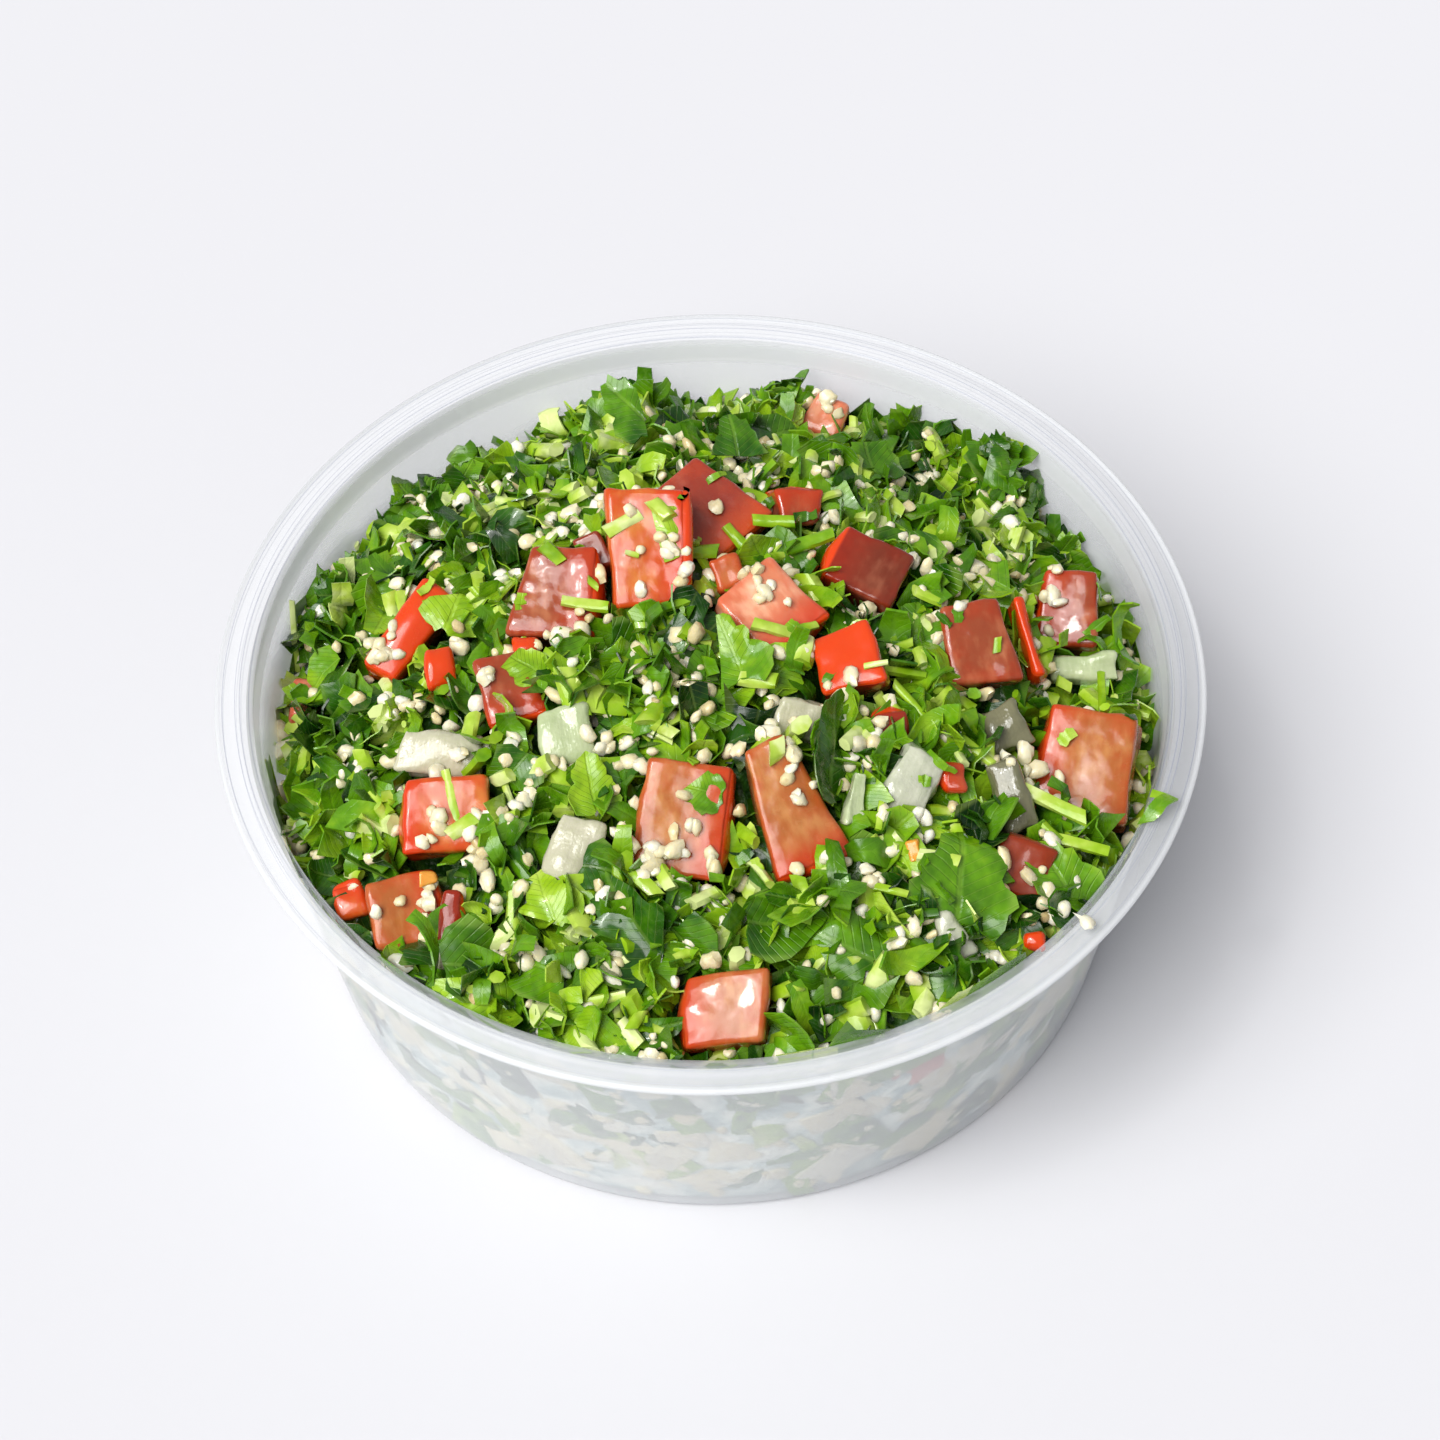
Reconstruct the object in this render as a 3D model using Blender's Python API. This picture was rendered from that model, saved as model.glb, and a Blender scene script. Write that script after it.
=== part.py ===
"""Tabbouleh in a round deli tub: the tub, the heaped salad and its large pieces of tomato and onion.

The tub stands on z = 0 with its axis on Z. The sizes below are in millimetres, and MM turns them
into metres where a mesh or a place is made. The heap leans a little to the front (-Y), where it
meets the rim, and leaves the wall free at the back and at both sides.
"""
import math
import random
from dataclasses import dataclass

import bmesh
import bpy
from mathutils import Matrix, Vector, noise

MM = 0.001
MERGE_DISTANCE = 0.01

# The tub: a thin moulded cup with a narrow flange for its lid.
TUB_STEPS = 60
RIM_RADIUS = 58.5
RIM_HEIGHT = 41.5
BASE_RADIUS = 49.5
WALL = 0.7
FLOOR = 0.8
WALL_TOP = 38.0
WALL_TOP_RADIUS = 54.45
NECK_TOP = 40.0
NECK_FLARE = 0.4
FLANGE_RISE = 0.1
BASE_CORNER = 1.2
BEAD_RADIUS = 0.5
LID_RIDGE_RADIUS = 55.75
LID_GROOVE_DEPTH = 0.4
LID_GROOVE_STEP = 0.15
MOUTH_RADIUS = 54.15
MOUTH_HEIGHT = 40.6

# The salad: a dome that fills the tub and rises over its rim.
GAP = 0.3
PEAK = (-2.0, 5.0)
PEAK_HEIGHT = 52.0
DOME_POWER = 1.9
DOME_RINGS = 17
SALAD_CORNER = 1.5
# Height of the salad where it meets the wall, every eighth of a turn from +X by way of +Y.
WALL_LEVELS = (32.0, 28.0, 31.0, 29.0, 29.0, 38.5, 38.5, 38.5)
LUMP_SIZES = (10.0, 4.5)
LUMP_HEIGHTS = (2.6, 1.8)
LUMP_SHIFT = 7.3


@dataclass(frozen=True)
class Tuft:
    """Leaves that stand up out of the heap, or a dip between them where the height is negative.

    x and y say where, height how far up and radius how wide, in millimetres.
    """

    x: float
    y: float
    height: float
    radius: float


TUFTS = (
    Tuft(37.5, 32.5, 10.0, 5.0),
    Tuft(28.5, 41.0, 6.5, 4.5),
    Tuft(10.5, 48.5, 4.0, 4.5),
    Tuft(-1.0, 50.0, -3.0, 4.0),
    Tuft(-11.0, 49.0, 2.0, 4.5),
    Tuft(-34.0, 36.0, 2.5, 4.5),
    Tuft(-45.0, 16.0, 4.5, 5.0),
)


@dataclass(frozen=True)
class Cut:
    """A knife-cut piece: a block that may narrow to its far end, laid at an angle in the heap.

    place is its centre and size its width, depth and thickness in millimetres. far is the width of
    the far end over that of the near end, and skew how far the far end is shifted sideways. lean
    tips its top to the front, roll tips it sideways and spin turns it in its own plane, in degrees.
    """

    place: tuple
    size: tuple
    far: float = 1.0
    skew: float = 0.0
    lean: float = 28.0
    roll: float = 0.0
    spin: float = 0.0


TOMATOES = (
    Cut((-6.5, 8.0, 53.0), (8.4, 14.0, 5.2), far=1.2, skew=-0.6, lean=30, spin=-1),
    Cut((0.4, 17.0, 49.6), (10.0, 12.0, 4.6), far=0.8, skew=-0.8, lean=22, roll=4, spin=40),
    Cut((-17.5, 5.0, 48.5), (9.8, 10.6, 7.5), far=0.85, skew=0.8, roll=-6, spin=-6),
    Cut((6.8, 0.0, 50.3), (9.6, 10.2, 6.6), far=0.9, lean=20, roll=6, spin=40),
    Cut((16.0, -7.2, 49.6), (7.4, 7.4, 6.2), far=0.85, skew=0.6, lean=20, roll=-10, spin=14),
    Cut((18.8, 7.8, 48.0), (9.3, 7.4, 6.5), far=0.9, lean=18, roll=8, spin=-28),
    Cut((31.6, -0.6, 44.0), (8.8, 9.4, 7.0), far=0.75, skew=-0.6, lean=26, roll=6, spin=8),
    Cut((43.5, 10.0, 37.0), (7.2, 9.2, 7.0), far=0.9, lean=26, roll=-6, spin=-6),
    Cut((43.5, -14.0, 37.5), (11.4, 12.8, 7.0), far=0.95, lean=26, roll=-6, spin=-12),
    Cut((-3.5, -26.0, 46.0), (10.4, 12.6, 7.0), far=0.95, skew=0.4, lean=32, spin=-8),
    Cut((8.5, -25.0, 46.5), (9.2, 15.0, 6.5), far=0.55, skew=0.2, lean=30, roll=4, spin=22),
    Cut((-30.0, -23.0, 43.5), (11.0, 8.4, 7.0), far=0.85, skew=0.3, spin=4),
    Cut((-34.9, -32.3, 38.6), (7.8, 8.0, 6.0), far=0.95, roll=6, spin=10),
    Cut((0.6, -47.0, 39.2), (9.4, 8.0, 6.0), far=1.05, skew=1.0, lean=26, roll=-4, spin=2),
    Cut((-35.5, 5.5, 41.5), (4.6, 12.6, 6.0), lean=26, spin=-36),
    Cut((-23.0, -7.4, 46.5), (7.0, 8.0, 5.6), far=0.85, skew=-0.5, spin=16),
    Cut((11.0, 18.6, 47.6), (4.2, 4.8, 4.4), far=1.6, lean=24, roll=10),
    Cut((15.5, 45.0, 34.5), (5.6, 5.4, 5.0), far=0.8, lean=24, spin=-20),
    Cut((34.5, -30.0, 41.0), (6.2, 6.6, 3.0), lean=34, spin=-22),
)
TOMATO_EDGE = 0.55
TOMATO_WARP = 0.45

ONIONS = (
    Cut((-31.0, -14.4, 44.6), (10.6, 4.8, 3.6), far=0.85, lean=30, spin=-8),
    Cut((-15.5, -29.0, 45.5), (5.6, 7.0, 3.6), far=0.9, lean=34, spin=-18),
    Cut((-16.5, -15.5, 48.0), (6.0, 7.0, 3.2), lean=30, spin=10),
    Cut((10.0, -14.4, 48.8), (6.0, 5.2, 2.8), far=0.95, lean=30, roll=6, spin=-12),
    Cut((22.5, -22.0, 46.5), (5.6, 8.2, 2.6), lean=32, roll=4, spin=-28),
    Cut((34.0, -21.0, 42.5), (3.8, 8.6, 2.4), lean=30, roll=6, spin=18),
    Cut((44.5, 1.0, 37.5), (8.4, 3.4, 2.4), far=0.95),
    Cut((34.0, -11.5, 42.5), (5.8, 5.6, 3.0), far=0.8, spin=20),
)
ONION_EDGE = 0.4
ONION_WARP = 0.3
POCKET_EDGE = 0.25


def clear_scene():
    """Removes every object that the scene starts with."""
    for thing in list(bpy.data.objects):
        bpy.data.objects.remove(thing, do_unlink=True)


def make_material(name, colour, roughness, alpha=1.0):
    """Makes one Principled material."""
    material = bpy.data.materials.new(name)
    material.use_nodes = True
    shader = material.node_tree.nodes["Principled BSDF"]
    shader.inputs["Base Color"].default_value = (*colour, 1.0)
    shader.inputs["Roughness"].default_value = roughness
    shader.inputs["Metallic"].default_value = 0.0
    shader.inputs["Alpha"].default_value = alpha
    return material


def make_object(name, shape, material, smooth_angle):
    """Turns a bmesh into a named object with smooth round faces and sharp edges."""
    mesh = bpy.data.meshes.new(name)
    shape.to_mesh(mesh)
    shape.free()
    mesh.materials.append(material)
    mesh.shade_smooth()
    mesh.set_sharp_from_angle(angle=math.radians(smooth_angle))
    thing = bpy.data.objects.new(name, mesh)
    bpy.context.scene.collection.objects.link(thing)
    return thing


def arc(centre, radius, start, end, steps):
    """Gives points on an arc in the (radius, height) plane, angles in degrees."""
    points = []
    for step in range(steps + 1):
        angle = math.radians(start + (end - start) * step / steps)
        points.append((centre[0] + radius * math.cos(angle), centre[1] + radius * math.sin(angle)))
    return points


def turned_body(profile, steps):
    """Spins a profile of (radius, height) points that starts and ends on the axis into a closed body."""
    shape = bmesh.new()
    verts = [shape.verts.new((radius * MM, 0.0, height * MM)) for radius, height in profile]
    edges = [shape.edges.new(pair) for pair in zip(verts, verts[1:])]
    bmesh.ops.spin(
        shape,
        geom=verts + edges,
        cent=(0.0, 0.0, 0.0),
        axis=(0.0, 0.0, 1.0),
        angle=math.tau,
        steps=steps,
        use_merge=True,
    )
    bmesh.ops.remove_doubles(shape, verts=shape.verts, dist=MERGE_DISTANCE * MM)
    bmesh.ops.recalc_face_normals(shape, faces=shape.faces)
    return shape


def inner_radius(height):
    """Radius of the tub's inner wall at a height."""
    slope = (WALL_TOP_RADIUS - BASE_RADIUS) / WALL_TOP
    return BASE_RADIUS - WALL + slope * height


def tub_profile():
    """Outline of the tub from the middle of its base, up the outside and down the inside."""
    profile = [(0.0, 0.0)]
    profile += arc((BASE_RADIUS - BASE_CORNER, BASE_CORNER), BASE_CORNER, -90, 0, 3)
    profile.append((WALL_TOP_RADIUS, WALL_TOP))
    profile.append((WALL_TOP_RADIUS + NECK_FLARE, NECK_TOP))
    bead = (RIM_RADIUS - BEAD_RADIUS, RIM_HEIGHT - LID_GROOVE_DEPTH - BEAD_RADIUS)
    profile.append((RIM_RADIUS - 2.0 * BEAD_RADIUS, NECK_TOP + FLANGE_RISE))
    profile += arc(bead, BEAD_RADIUS, -60, 90, 5)
    groove_height = RIM_HEIGHT - LID_GROOVE_DEPTH - LID_GROOVE_STEP
    profile.append((RIM_RADIUS - 3.0 * BEAD_RADIUS, groove_height))
    profile.append((LID_RIDGE_RADIUS, RIM_HEIGHT))
    profile.append((MOUTH_RADIUS, MOUTH_HEIGHT))
    profile.append((inner_radius(WALL_TOP), WALL_TOP))
    corner = BASE_CORNER
    profile += arc((inner_radius(FLOOR) - corner, FLOOR + corner), corner, 0, -90, 3)
    profile.append((0.0, FLOOR))
    return profile


def make_tub():
    """Makes the tub in one piece."""
    clear = make_material("tub", (0.86, 0.88, 0.92), 0.3, 0.45)
    return make_object("tub", turned_body(tub_profile(), TUB_STEPS), clear, smooth_angle=50.0)


def wall_level(angle):
    """Height at which the salad meets the wall in one direction."""
    turn = (angle / math.tau * len(WALL_LEVELS)) % len(WALL_LEVELS)
    index = int(turn)
    blend = turn - index
    blend = blend * blend * (3.0 - 2.0 * blend)
    here = WALL_LEVELS[index]
    after = WALL_LEVELS[(index + 1) % len(WALL_LEVELS)]
    return here + (after - here) * blend


def lumps(x, y):
    """Uneven height of the heap's surface, with the tufts of leaves that stand up."""
    height = 0.0
    for size, amount in zip(LUMP_SIZES, LUMP_HEIGHTS):
        height += amount * noise.noise(Vector((x / size, y / size, LUMP_SHIFT)))
    for tuft in TUFTS:
        distance = math.hypot(x - tuft.x, y - tuft.y) / tuft.radius
        height += tuft.height * math.exp(-distance * distance)
    return height


def salad_surface(angle, reach):
    """Point of the heap's surface: reach runs from 0 at the peak to 1 at the wall."""
    level = wall_level(angle)
    radius = inner_radius(level) - GAP
    wall_x = radius * math.cos(angle)
    wall_y = radius * math.sin(angle)
    x = PEAK[0] + (wall_x - PEAK[0]) * reach
    y = PEAK[1] + (wall_y - PEAK[1]) * reach
    dome = level + (PEAK_HEIGHT - level) * (1.0 - reach ** DOME_POWER)
    height = dome + lumps(x, y)
    from_axis = max(math.hypot(x, y), GAP)
    room = min(1.0, (inner_radius(height) - GAP) / from_axis)
    return Vector((x * room, y * room, height))


def make_salad():
    """Makes the heap as one body that follows the tub's wall and rises to its uneven top."""
    foot = FLOOR + GAP
    radius = inner_radius(foot) - GAP
    profile = [(0.0, foot)]
    profile += arc((radius - SALAD_CORNER, foot + SALAD_CORNER), SALAD_CORNER, -90, 0, 2)
    top_points = [(radius * (1.0 - ring / DOME_RINGS), PEAK_HEIGHT) for ring in range(DOME_RINGS)]
    profile += top_points + [(0.0, PEAK_HEIGHT)]
    shape = turned_body(profile, TUB_STEPS)
    for vert in shape.verts:
        if vert.co.z < PEAK_HEIGHT * MM / 2.0:
            continue
        from_axis = math.hypot(vert.co.x, vert.co.y) / MM
        angle = math.atan2(vert.co.y, vert.co.x) % math.tau
        vert.co = salad_surface(angle, from_axis / radius) * MM
    bmesh.ops.triangulate(shape, faces=shape.faces)
    green = make_material("salad", (0.09, 0.25, 0.03), 0.5)
    return make_object("salad", shape, green, smooth_angle=180.0)


def cut_shape(cut, edge, warp, name, grow=0.0, segments=2):
    """Shapes one knife-cut piece about its own centre, or the same piece grown on every side."""
    dice = random.Random(name)
    shape = bmesh.new()
    bmesh.ops.create_cube(shape, size=1.0)
    width, depth, thickness = cut.size
    for vert in sorted(shape.verts, key=lambda v: (v.co.z, v.co.y, v.co.x)):
        side, end, face = (math.copysign(1.0, value) for value in vert.co)
        at_far_end = end > 0.0
        half_width = width * (cut.far if at_far_end else 1.0) / 2.0
        shift = cut.skew if at_far_end else 0.0
        wobble = Vector(dice.uniform(-warp, warp) for _ in range(3))
        corner = Vector((side * half_width + shift, end * depth / 2.0, face * thickness / 2.0))
        growth = Vector((side, end, face)) * grow
        vert.co = (corner + wobble + growth) * MM
    bmesh.ops.bevel(
        shape,
        geom=list(shape.edges),
        offset=edge * MM,
        offset_type="OFFSET",
        segments=segments,
        profile=0.5,
        affect="EDGES",
        material=-1,
        clamp_overlap=True,
    )
    bmesh.ops.triangulate(shape, faces=shape.faces)
    return shape


def lay(thing, cut):
    """Lays a piece at its place and angle in the heap."""
    lean = Matrix.Rotation(math.radians(cut.lean), 4, "X")
    roll = Matrix.Rotation(math.radians(cut.roll), 4, "Y")
    spin = Matrix.Rotation(math.radians(cut.spin), 4, "Z")
    turn = lean @ roll @ spin
    thing.location = Vector(cut.place) * MM
    thing.rotation_euler = turn.to_euler()


def carve_pocket(salad, cut, warp, name):
    """Cuts the room for one piece out of the heap, with the gap all round it."""
    shape = cut_shape(cut, POCKET_EDGE, warp, name, GAP, 1)
    mesh = bpy.data.meshes.new(name + "_pocket")
    shape.to_mesh(mesh)
    shape.free()
    cutter = bpy.data.objects.new(name + "_pocket", mesh)
    bpy.context.scene.collection.objects.link(cutter)
    cutter.hide_render = True
    cutter.display_type = "WIRE"
    lay(cutter, cut)
    pocket = salad.modifiers.new(name + "_pocket", "BOOLEAN")
    pocket.object = cutter
    pocket.operation = "DIFFERENCE"
    pocket.solver = "EXACT"


def make_cuts(kind, cuts, edge, warp, segments, material, salad):
    """Makes each piece of one kind, laid in a pocket of its own."""
    for number, cut in enumerate(cuts, start=1):
        name = f"{kind}_{number:02d}"
        shape = cut_shape(cut, edge, warp, name, 0.0, segments)
        thing = make_object(name, shape, material.copy(), smooth_angle=40.0)
        lay(thing, cut)
        carve_pocket(salad, cut, warp, name)


def main():
    """Builds the whole part."""
    clear_scene()
    make_tub()
    salad = make_salad()
    tomato = make_material("tomato", (0.72, 0.09, 0.04), 0.3)
    onion = make_material("onion", (0.84, 0.84, 0.7), 0.35)
    make_cuts("tomato", TOMATOES, TOMATO_EDGE, TOMATO_WARP, 2, tomato, salad)
    make_cuts("onion", ONIONS, ONION_EDGE, ONION_WARP, 1, onion, salad)


main()
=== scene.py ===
"""Tabbouleh in a round clear tub: chopped parsley, bulgur, tomato and onion heaped over the rim.

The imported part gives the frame. The heap's plain solid is replaced by a core with real leaves,
stalks and grains on it, and the tub and each large piece are made again with their finish.
Sizes are in millimetres, and MM turns them into metres where a mesh is made.
"""
import logging
import math
import random
from dataclasses import dataclass, field
from enum import Enum
from typing import Optional, Sequence, Union

import bmesh
import bpy
import numpy as np
from mathutils import Matrix, Vector, noise
from mathutils.bvhtree import BVHTree


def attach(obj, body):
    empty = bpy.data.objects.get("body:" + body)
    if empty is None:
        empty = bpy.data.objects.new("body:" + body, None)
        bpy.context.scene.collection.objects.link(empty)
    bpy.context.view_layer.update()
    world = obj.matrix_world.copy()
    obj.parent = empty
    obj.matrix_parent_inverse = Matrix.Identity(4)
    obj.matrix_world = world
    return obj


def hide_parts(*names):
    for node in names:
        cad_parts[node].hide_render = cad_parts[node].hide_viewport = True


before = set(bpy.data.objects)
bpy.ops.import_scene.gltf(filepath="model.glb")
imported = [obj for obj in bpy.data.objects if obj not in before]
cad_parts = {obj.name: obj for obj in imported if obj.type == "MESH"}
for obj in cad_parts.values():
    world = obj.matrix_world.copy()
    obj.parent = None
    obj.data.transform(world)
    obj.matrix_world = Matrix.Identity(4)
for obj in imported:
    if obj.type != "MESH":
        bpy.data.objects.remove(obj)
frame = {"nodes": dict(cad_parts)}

MM = 0.001
BODY = "root"

Triple = tuple[float, float, float]
Value = Union["Wire", float, bpy.types.NodeSocket]

log = logging.getLogger("tabbouleh")


class Wire:
    """A number in a material's node tree that sums and products can be written with."""

    def __init__(self, paint: "Paint", socket: bpy.types.NodeSocket) -> None:
        """Keeps the socket that the number comes from.

        Args:
            paint: Material the socket belongs to.
            socket: Output socket of a node.
        """
        self.paint = paint
        self.socket = socket

    def _maths(self, operation: str, first: Value, second: Value, clamp: bool = False) -> "Wire":
        """Adds one Math node.

        Args:
            operation: Name of the Math node's operation.
            first: First number.
            second: Second number.
            clamp: Whether the result is kept between 0 and 1.

        Returns:
            The node's result.
        """
        settings = {"operation": operation, "use_clamp": clamp}
        return self.paint.wire("Math", settings, {0: first, 1: second})

    def __add__(self, other: Value) -> "Wire":
        """Gives the sum."""
        return self._maths("ADD", self, other)

    __radd__ = __add__

    def __sub__(self, other: Value) -> "Wire":
        """Gives the difference."""
        return self._maths("SUBTRACT", self, other)

    def __rsub__(self, other: Value) -> "Wire":
        """Gives the difference with the number on the right."""
        return self._maths("SUBTRACT", other, self)

    def __mul__(self, other: Value) -> "Wire":
        """Gives the product."""
        return self._maths("MULTIPLY", self, other)

    __rmul__ = __mul__

    def __truediv__(self, other: Value) -> "Wire":
        """Gives the quotient."""
        return self._maths("DIVIDE", self, other)

    def __pow__(self, other: Value) -> "Wire":
        """Gives the power."""
        return self._maths("POWER", self, other)

    def clamped(self) -> "Wire":
        """Gives the number kept between 0 and 1."""
        return self._maths("ADD", self, 0.0, True)

    def rise(self, low: float, high: float) -> "Wire":
        """Turns the number into a smooth step.

        Args:
            low: Number at which the step starts, at 0.
            high: Number at which the step ends, at 1.

        Returns:
            The step, between 0 and 1.
        """
        settings = {"interpolation_type": "SMOOTHSTEP"}
        return self.paint.wire("MapRange", settings, {0: self, 1: low, 2: high, 3: 0.0, 4: 1.0})


class Paint:
    """A material with a Principled shader, built up node by node."""

    def __init__(self, name: str, **constants: object) -> None:
        """Makes the material.

        Args:
            name: Name of the material.
            **constants: Numbers and colours of the shader's own sockets, with _ for a space.
        """
        self.material = bpy.data.materials.new(name)
        self.material.use_nodes = True
        self.tree = self.material.node_tree
        self.shader = self.tree.nodes["Principled BSDF"]
        for key, value in constants.items():
            socket = self.shader.inputs[key.replace("_", " ")]
            is_colour = isinstance(value, tuple) and socket.type == "RGBA"
            socket.default_value = (*value, 1.0) if is_colour else value

    def node(self, kind: str, settings: dict, sockets: dict) -> bpy.types.Node:
        """Adds one node.

        Args:
            kind: Type of the node, without ShaderNode.
            settings: The node's own settings; stops holds the stops of a ramp.
            sockets: Values or links of its inputs, by name or number.

        Returns:
            The node.
        """
        made = self.tree.nodes.new("ShaderNode" + kind)
        for key, value in settings.items():
            if key == "stops":
                self._stops(made.color_ramp, value)
            else:
                setattr(made, key, value)
        for key, value in sockets.items():
            self.feed(made.inputs[key], value)
        return made

    def _stops(self, ramp: bpy.types.ColorRamp, stops: Sequence[tuple[float, Triple]]) -> None:
        """Sets the stops of a colour ramp.

        Args:
            ramp: The ramp.
            stops: Place and colour of each stop, in order.
        """
        while len(ramp.elements) < len(stops):
            ramp.elements.new(1.0)
        for element, (place, colour) in zip(ramp.elements, stops):
            element.position = place
            element.color = (*colour, 1.0)

    def feed(self, socket: bpy.types.NodeSocket, value: object) -> None:
        """Sets or links one input.

        Args:
            socket: The input.
            value: Number, colour, socket or Wire.
        """
        if isinstance(value, Wire):
            value = value.socket
        if isinstance(value, bpy.types.NodeSocket):
            self.tree.links.new(value, socket)
        elif isinstance(value, tuple) and socket.type == "RGBA":
            socket.default_value = (*value, 1.0)
        else:
            socket.default_value = value

    def wire(self, kind: str, settings: dict, sockets: dict, output: int = 0) -> Wire:
        """Adds a node and gives one of its outputs as a number.

        Args:
            kind: Type of the node, without ShaderNode.
            settings: The node's own settings.
            sockets: Values or links of its inputs.
            output: Number of the output.

        Returns:
            The output.
        """
        return Wire(self, self.node(kind, settings, sockets).outputs[output])

    def place(self) -> bpy.types.NodeSocket:
        """Gives the place on the object, in metres."""
        return self.node("TexCoord", {}, {}).outputs["Object"]

    def mark(self, name: str) -> Wire:
        """Gives a number that is stored with the mesh."""
        return self.wire("Attribute", {"attribute_name": name}, {}, 2)

    def marks(self, name: str) -> bpy.types.NodeSocket:
        """Gives three numbers that are stored with the mesh."""
        return self.node("Attribute", {"attribute_name": name}, {}).outputs["Vector"]

    def clouds(self, where: object, size: float, detail: float = 2.0, rough: float = 0.5) -> Wire:
        """Gives a soft random pattern.

        Args:
            where: Coordinates of the pattern, in metres.
            size: Size of its patches, in millimetres.
            detail: How many finer layers it has.
            rough: How strong the finer layers are.

        Returns:
            The pattern, mostly between 0.3 and 0.7.
        """
        sockets = {"Vector": where, "Scale": 1.0 / (size * MM), "Detail": detail, "Roughness": rough}
        return self.wire("TexNoise", {}, sockets)

    def scaled(self, where: object, scale: Triple) -> bpy.types.NodeSocket:
        """Gives coordinates stretched along each axis."""
        return self.node("Mapping", {}, {"Vector": where, "Scale": scale}).outputs[0]

    def blend(self, share: Value, first: object, second: object) -> bpy.types.NodeSocket:
        """Blends two colours.

        Args:
            share: Share of the second colour.
            first: First colour or link.
            second: Second colour or link.

        Returns:
            The blended colour.
        """
        sockets = {0: share, 6: first, 7: second}
        return self.node("Mix", {"data_type": "RGBA"}, sockets).outputs[2]

    def bump(self, height: Wire, depth: float, strength: float = 1.0) -> None:
        """Raises the surface by a pattern.

        Args:
            height: The pattern.
            depth: Height of a full step of it, in millimetres.
            strength: Share of the effect.
        """
        sockets = {"Strength": strength, "Distance": depth * MM, "Height": height}
        self.set("Normal", self.node("Bump", {}, sockets).outputs[0])

    def set(self, name: str, value: object) -> None:
        """Feeds one of the shader's own sockets."""
        self.feed(self.shader.inputs[name], value)


@dataclass(frozen=True)
class LeafFinish:
    """Wet parsley: dark to pale green by the mark of each leaf, with fine veins and a painted gradient of shade and
    glow along each leaf.
    """

    name: str = "parsley"
    roughness: float = 0.27
    veins: float = 0.2
    shades: tuple = (
        (0.00, (0.003, 0.022, 0.002)),
        (0.22, (0.018, 0.085, 0.002)),
        (0.50, (0.100, 0.260, 0.003)),
        (0.75, (0.270, 0.450, 0.012)),
        (0.92, (0.440, 0.580, 0.085)),
        (1.00, (0.580, 0.670, 0.260)),
    )

    def make(self) -> bpy.types.Material:
        """Makes the material."""
        paint = Paint(
            self.name,
            Coat_Weight=0.35,
            Coat_Roughness=0.09,
            Specular_IOR_Level=0.25,
        )
        place = paint.place()
        patches = paint.clouds(place, 2.6, 3.0)
        leaf = paint.marks("leaf")
        across = paint.wire("SeparateXYZ", {}, {0: leaf}, 0)
        along = paint.wire("SeparateXYZ", {}, {0: leaf}, 1)
        # The along term makes each leaf paler towards one end: a painted gradient of shade and of light shining through
        # the leaf.
        tint = (paint.mark("tint") + (patches - 0.5) * 0.55 + along * 0.09).clamped()
        size = paint.wire("SeparateXYZ", {}, {0: leaf}, 2)
        side = paint.wire("Math", {"operation": "ABSOLUTE"}, {0: across})
        middle = 1.0 - side.rise(0.02, 0.09)
        branch = paint.wire("Math", {"operation": "PINGPONG"}, {0: along * 5.0 - side * 3.0, 1: 0.5})
        vein = (middle + (1.0 - branch.rise(0.03, 0.12)) * 0.6).clamped() * size
        base = paint.wire("ValToRGB", {"stops": self.shades}, {0: tint}).socket
        light = paint.blend(0.5, base, (0.45, 0.62, 0.12))
        rim = (across * across).rise(0.72, 1.0) * size * 0.35
        paint.set("Base Color", paint.blend((vein * self.veins + rim).clamped(), base, light))
        paint.set("Roughness", self.roughness + (paint.clouds(place, 1.1) - 0.5) * 0.5)
        crinkle = paint.clouds(place, 1.9, 1.0) - vein * 0.3
        paint.bump(crinkle, 0.5, 0.7)
        return paint.material


@dataclass(frozen=True)
class GrainFinish:
    """Soaked bulgur: creamy white, a little translucent."""

    name: str = "bulgur"
    roughness: float = 0.33

    def make(self) -> bpy.types.Material:
        """Makes the material."""
        paint = Paint(
            self.name,
            Subsurface_Weight=0.25,
            Subsurface_Radius=(1.0, 0.8, 0.5),
            Subsurface_Scale=0.0012,
            Coat_Weight=0.3,
            Coat_Roughness=0.15,
        )
        place = paint.place()
        tint = (paint.mark("tint") + (paint.clouds(place, 0.9) - 0.5) * 0.6).clamped()
        stops = (
            (0.0, (0.50, 0.38, 0.17)),
            (0.35, (0.68, 0.58, 0.32)),
            (0.7, (0.78, 0.71, 0.48)),
            (1.0, (0.82, 0.80, 0.66)),
        )
        paint.set("Base Color", paint.wire("ValToRGB", {"stops": stops}, {0: tint}).socket)
        paint.set("Roughness", self.roughness + (paint.clouds(place, 0.5) - 0.5) * 0.3)
        paint.bump(paint.clouds(place, 0.6), 0.2, 0.6)
        return paint.material


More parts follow.
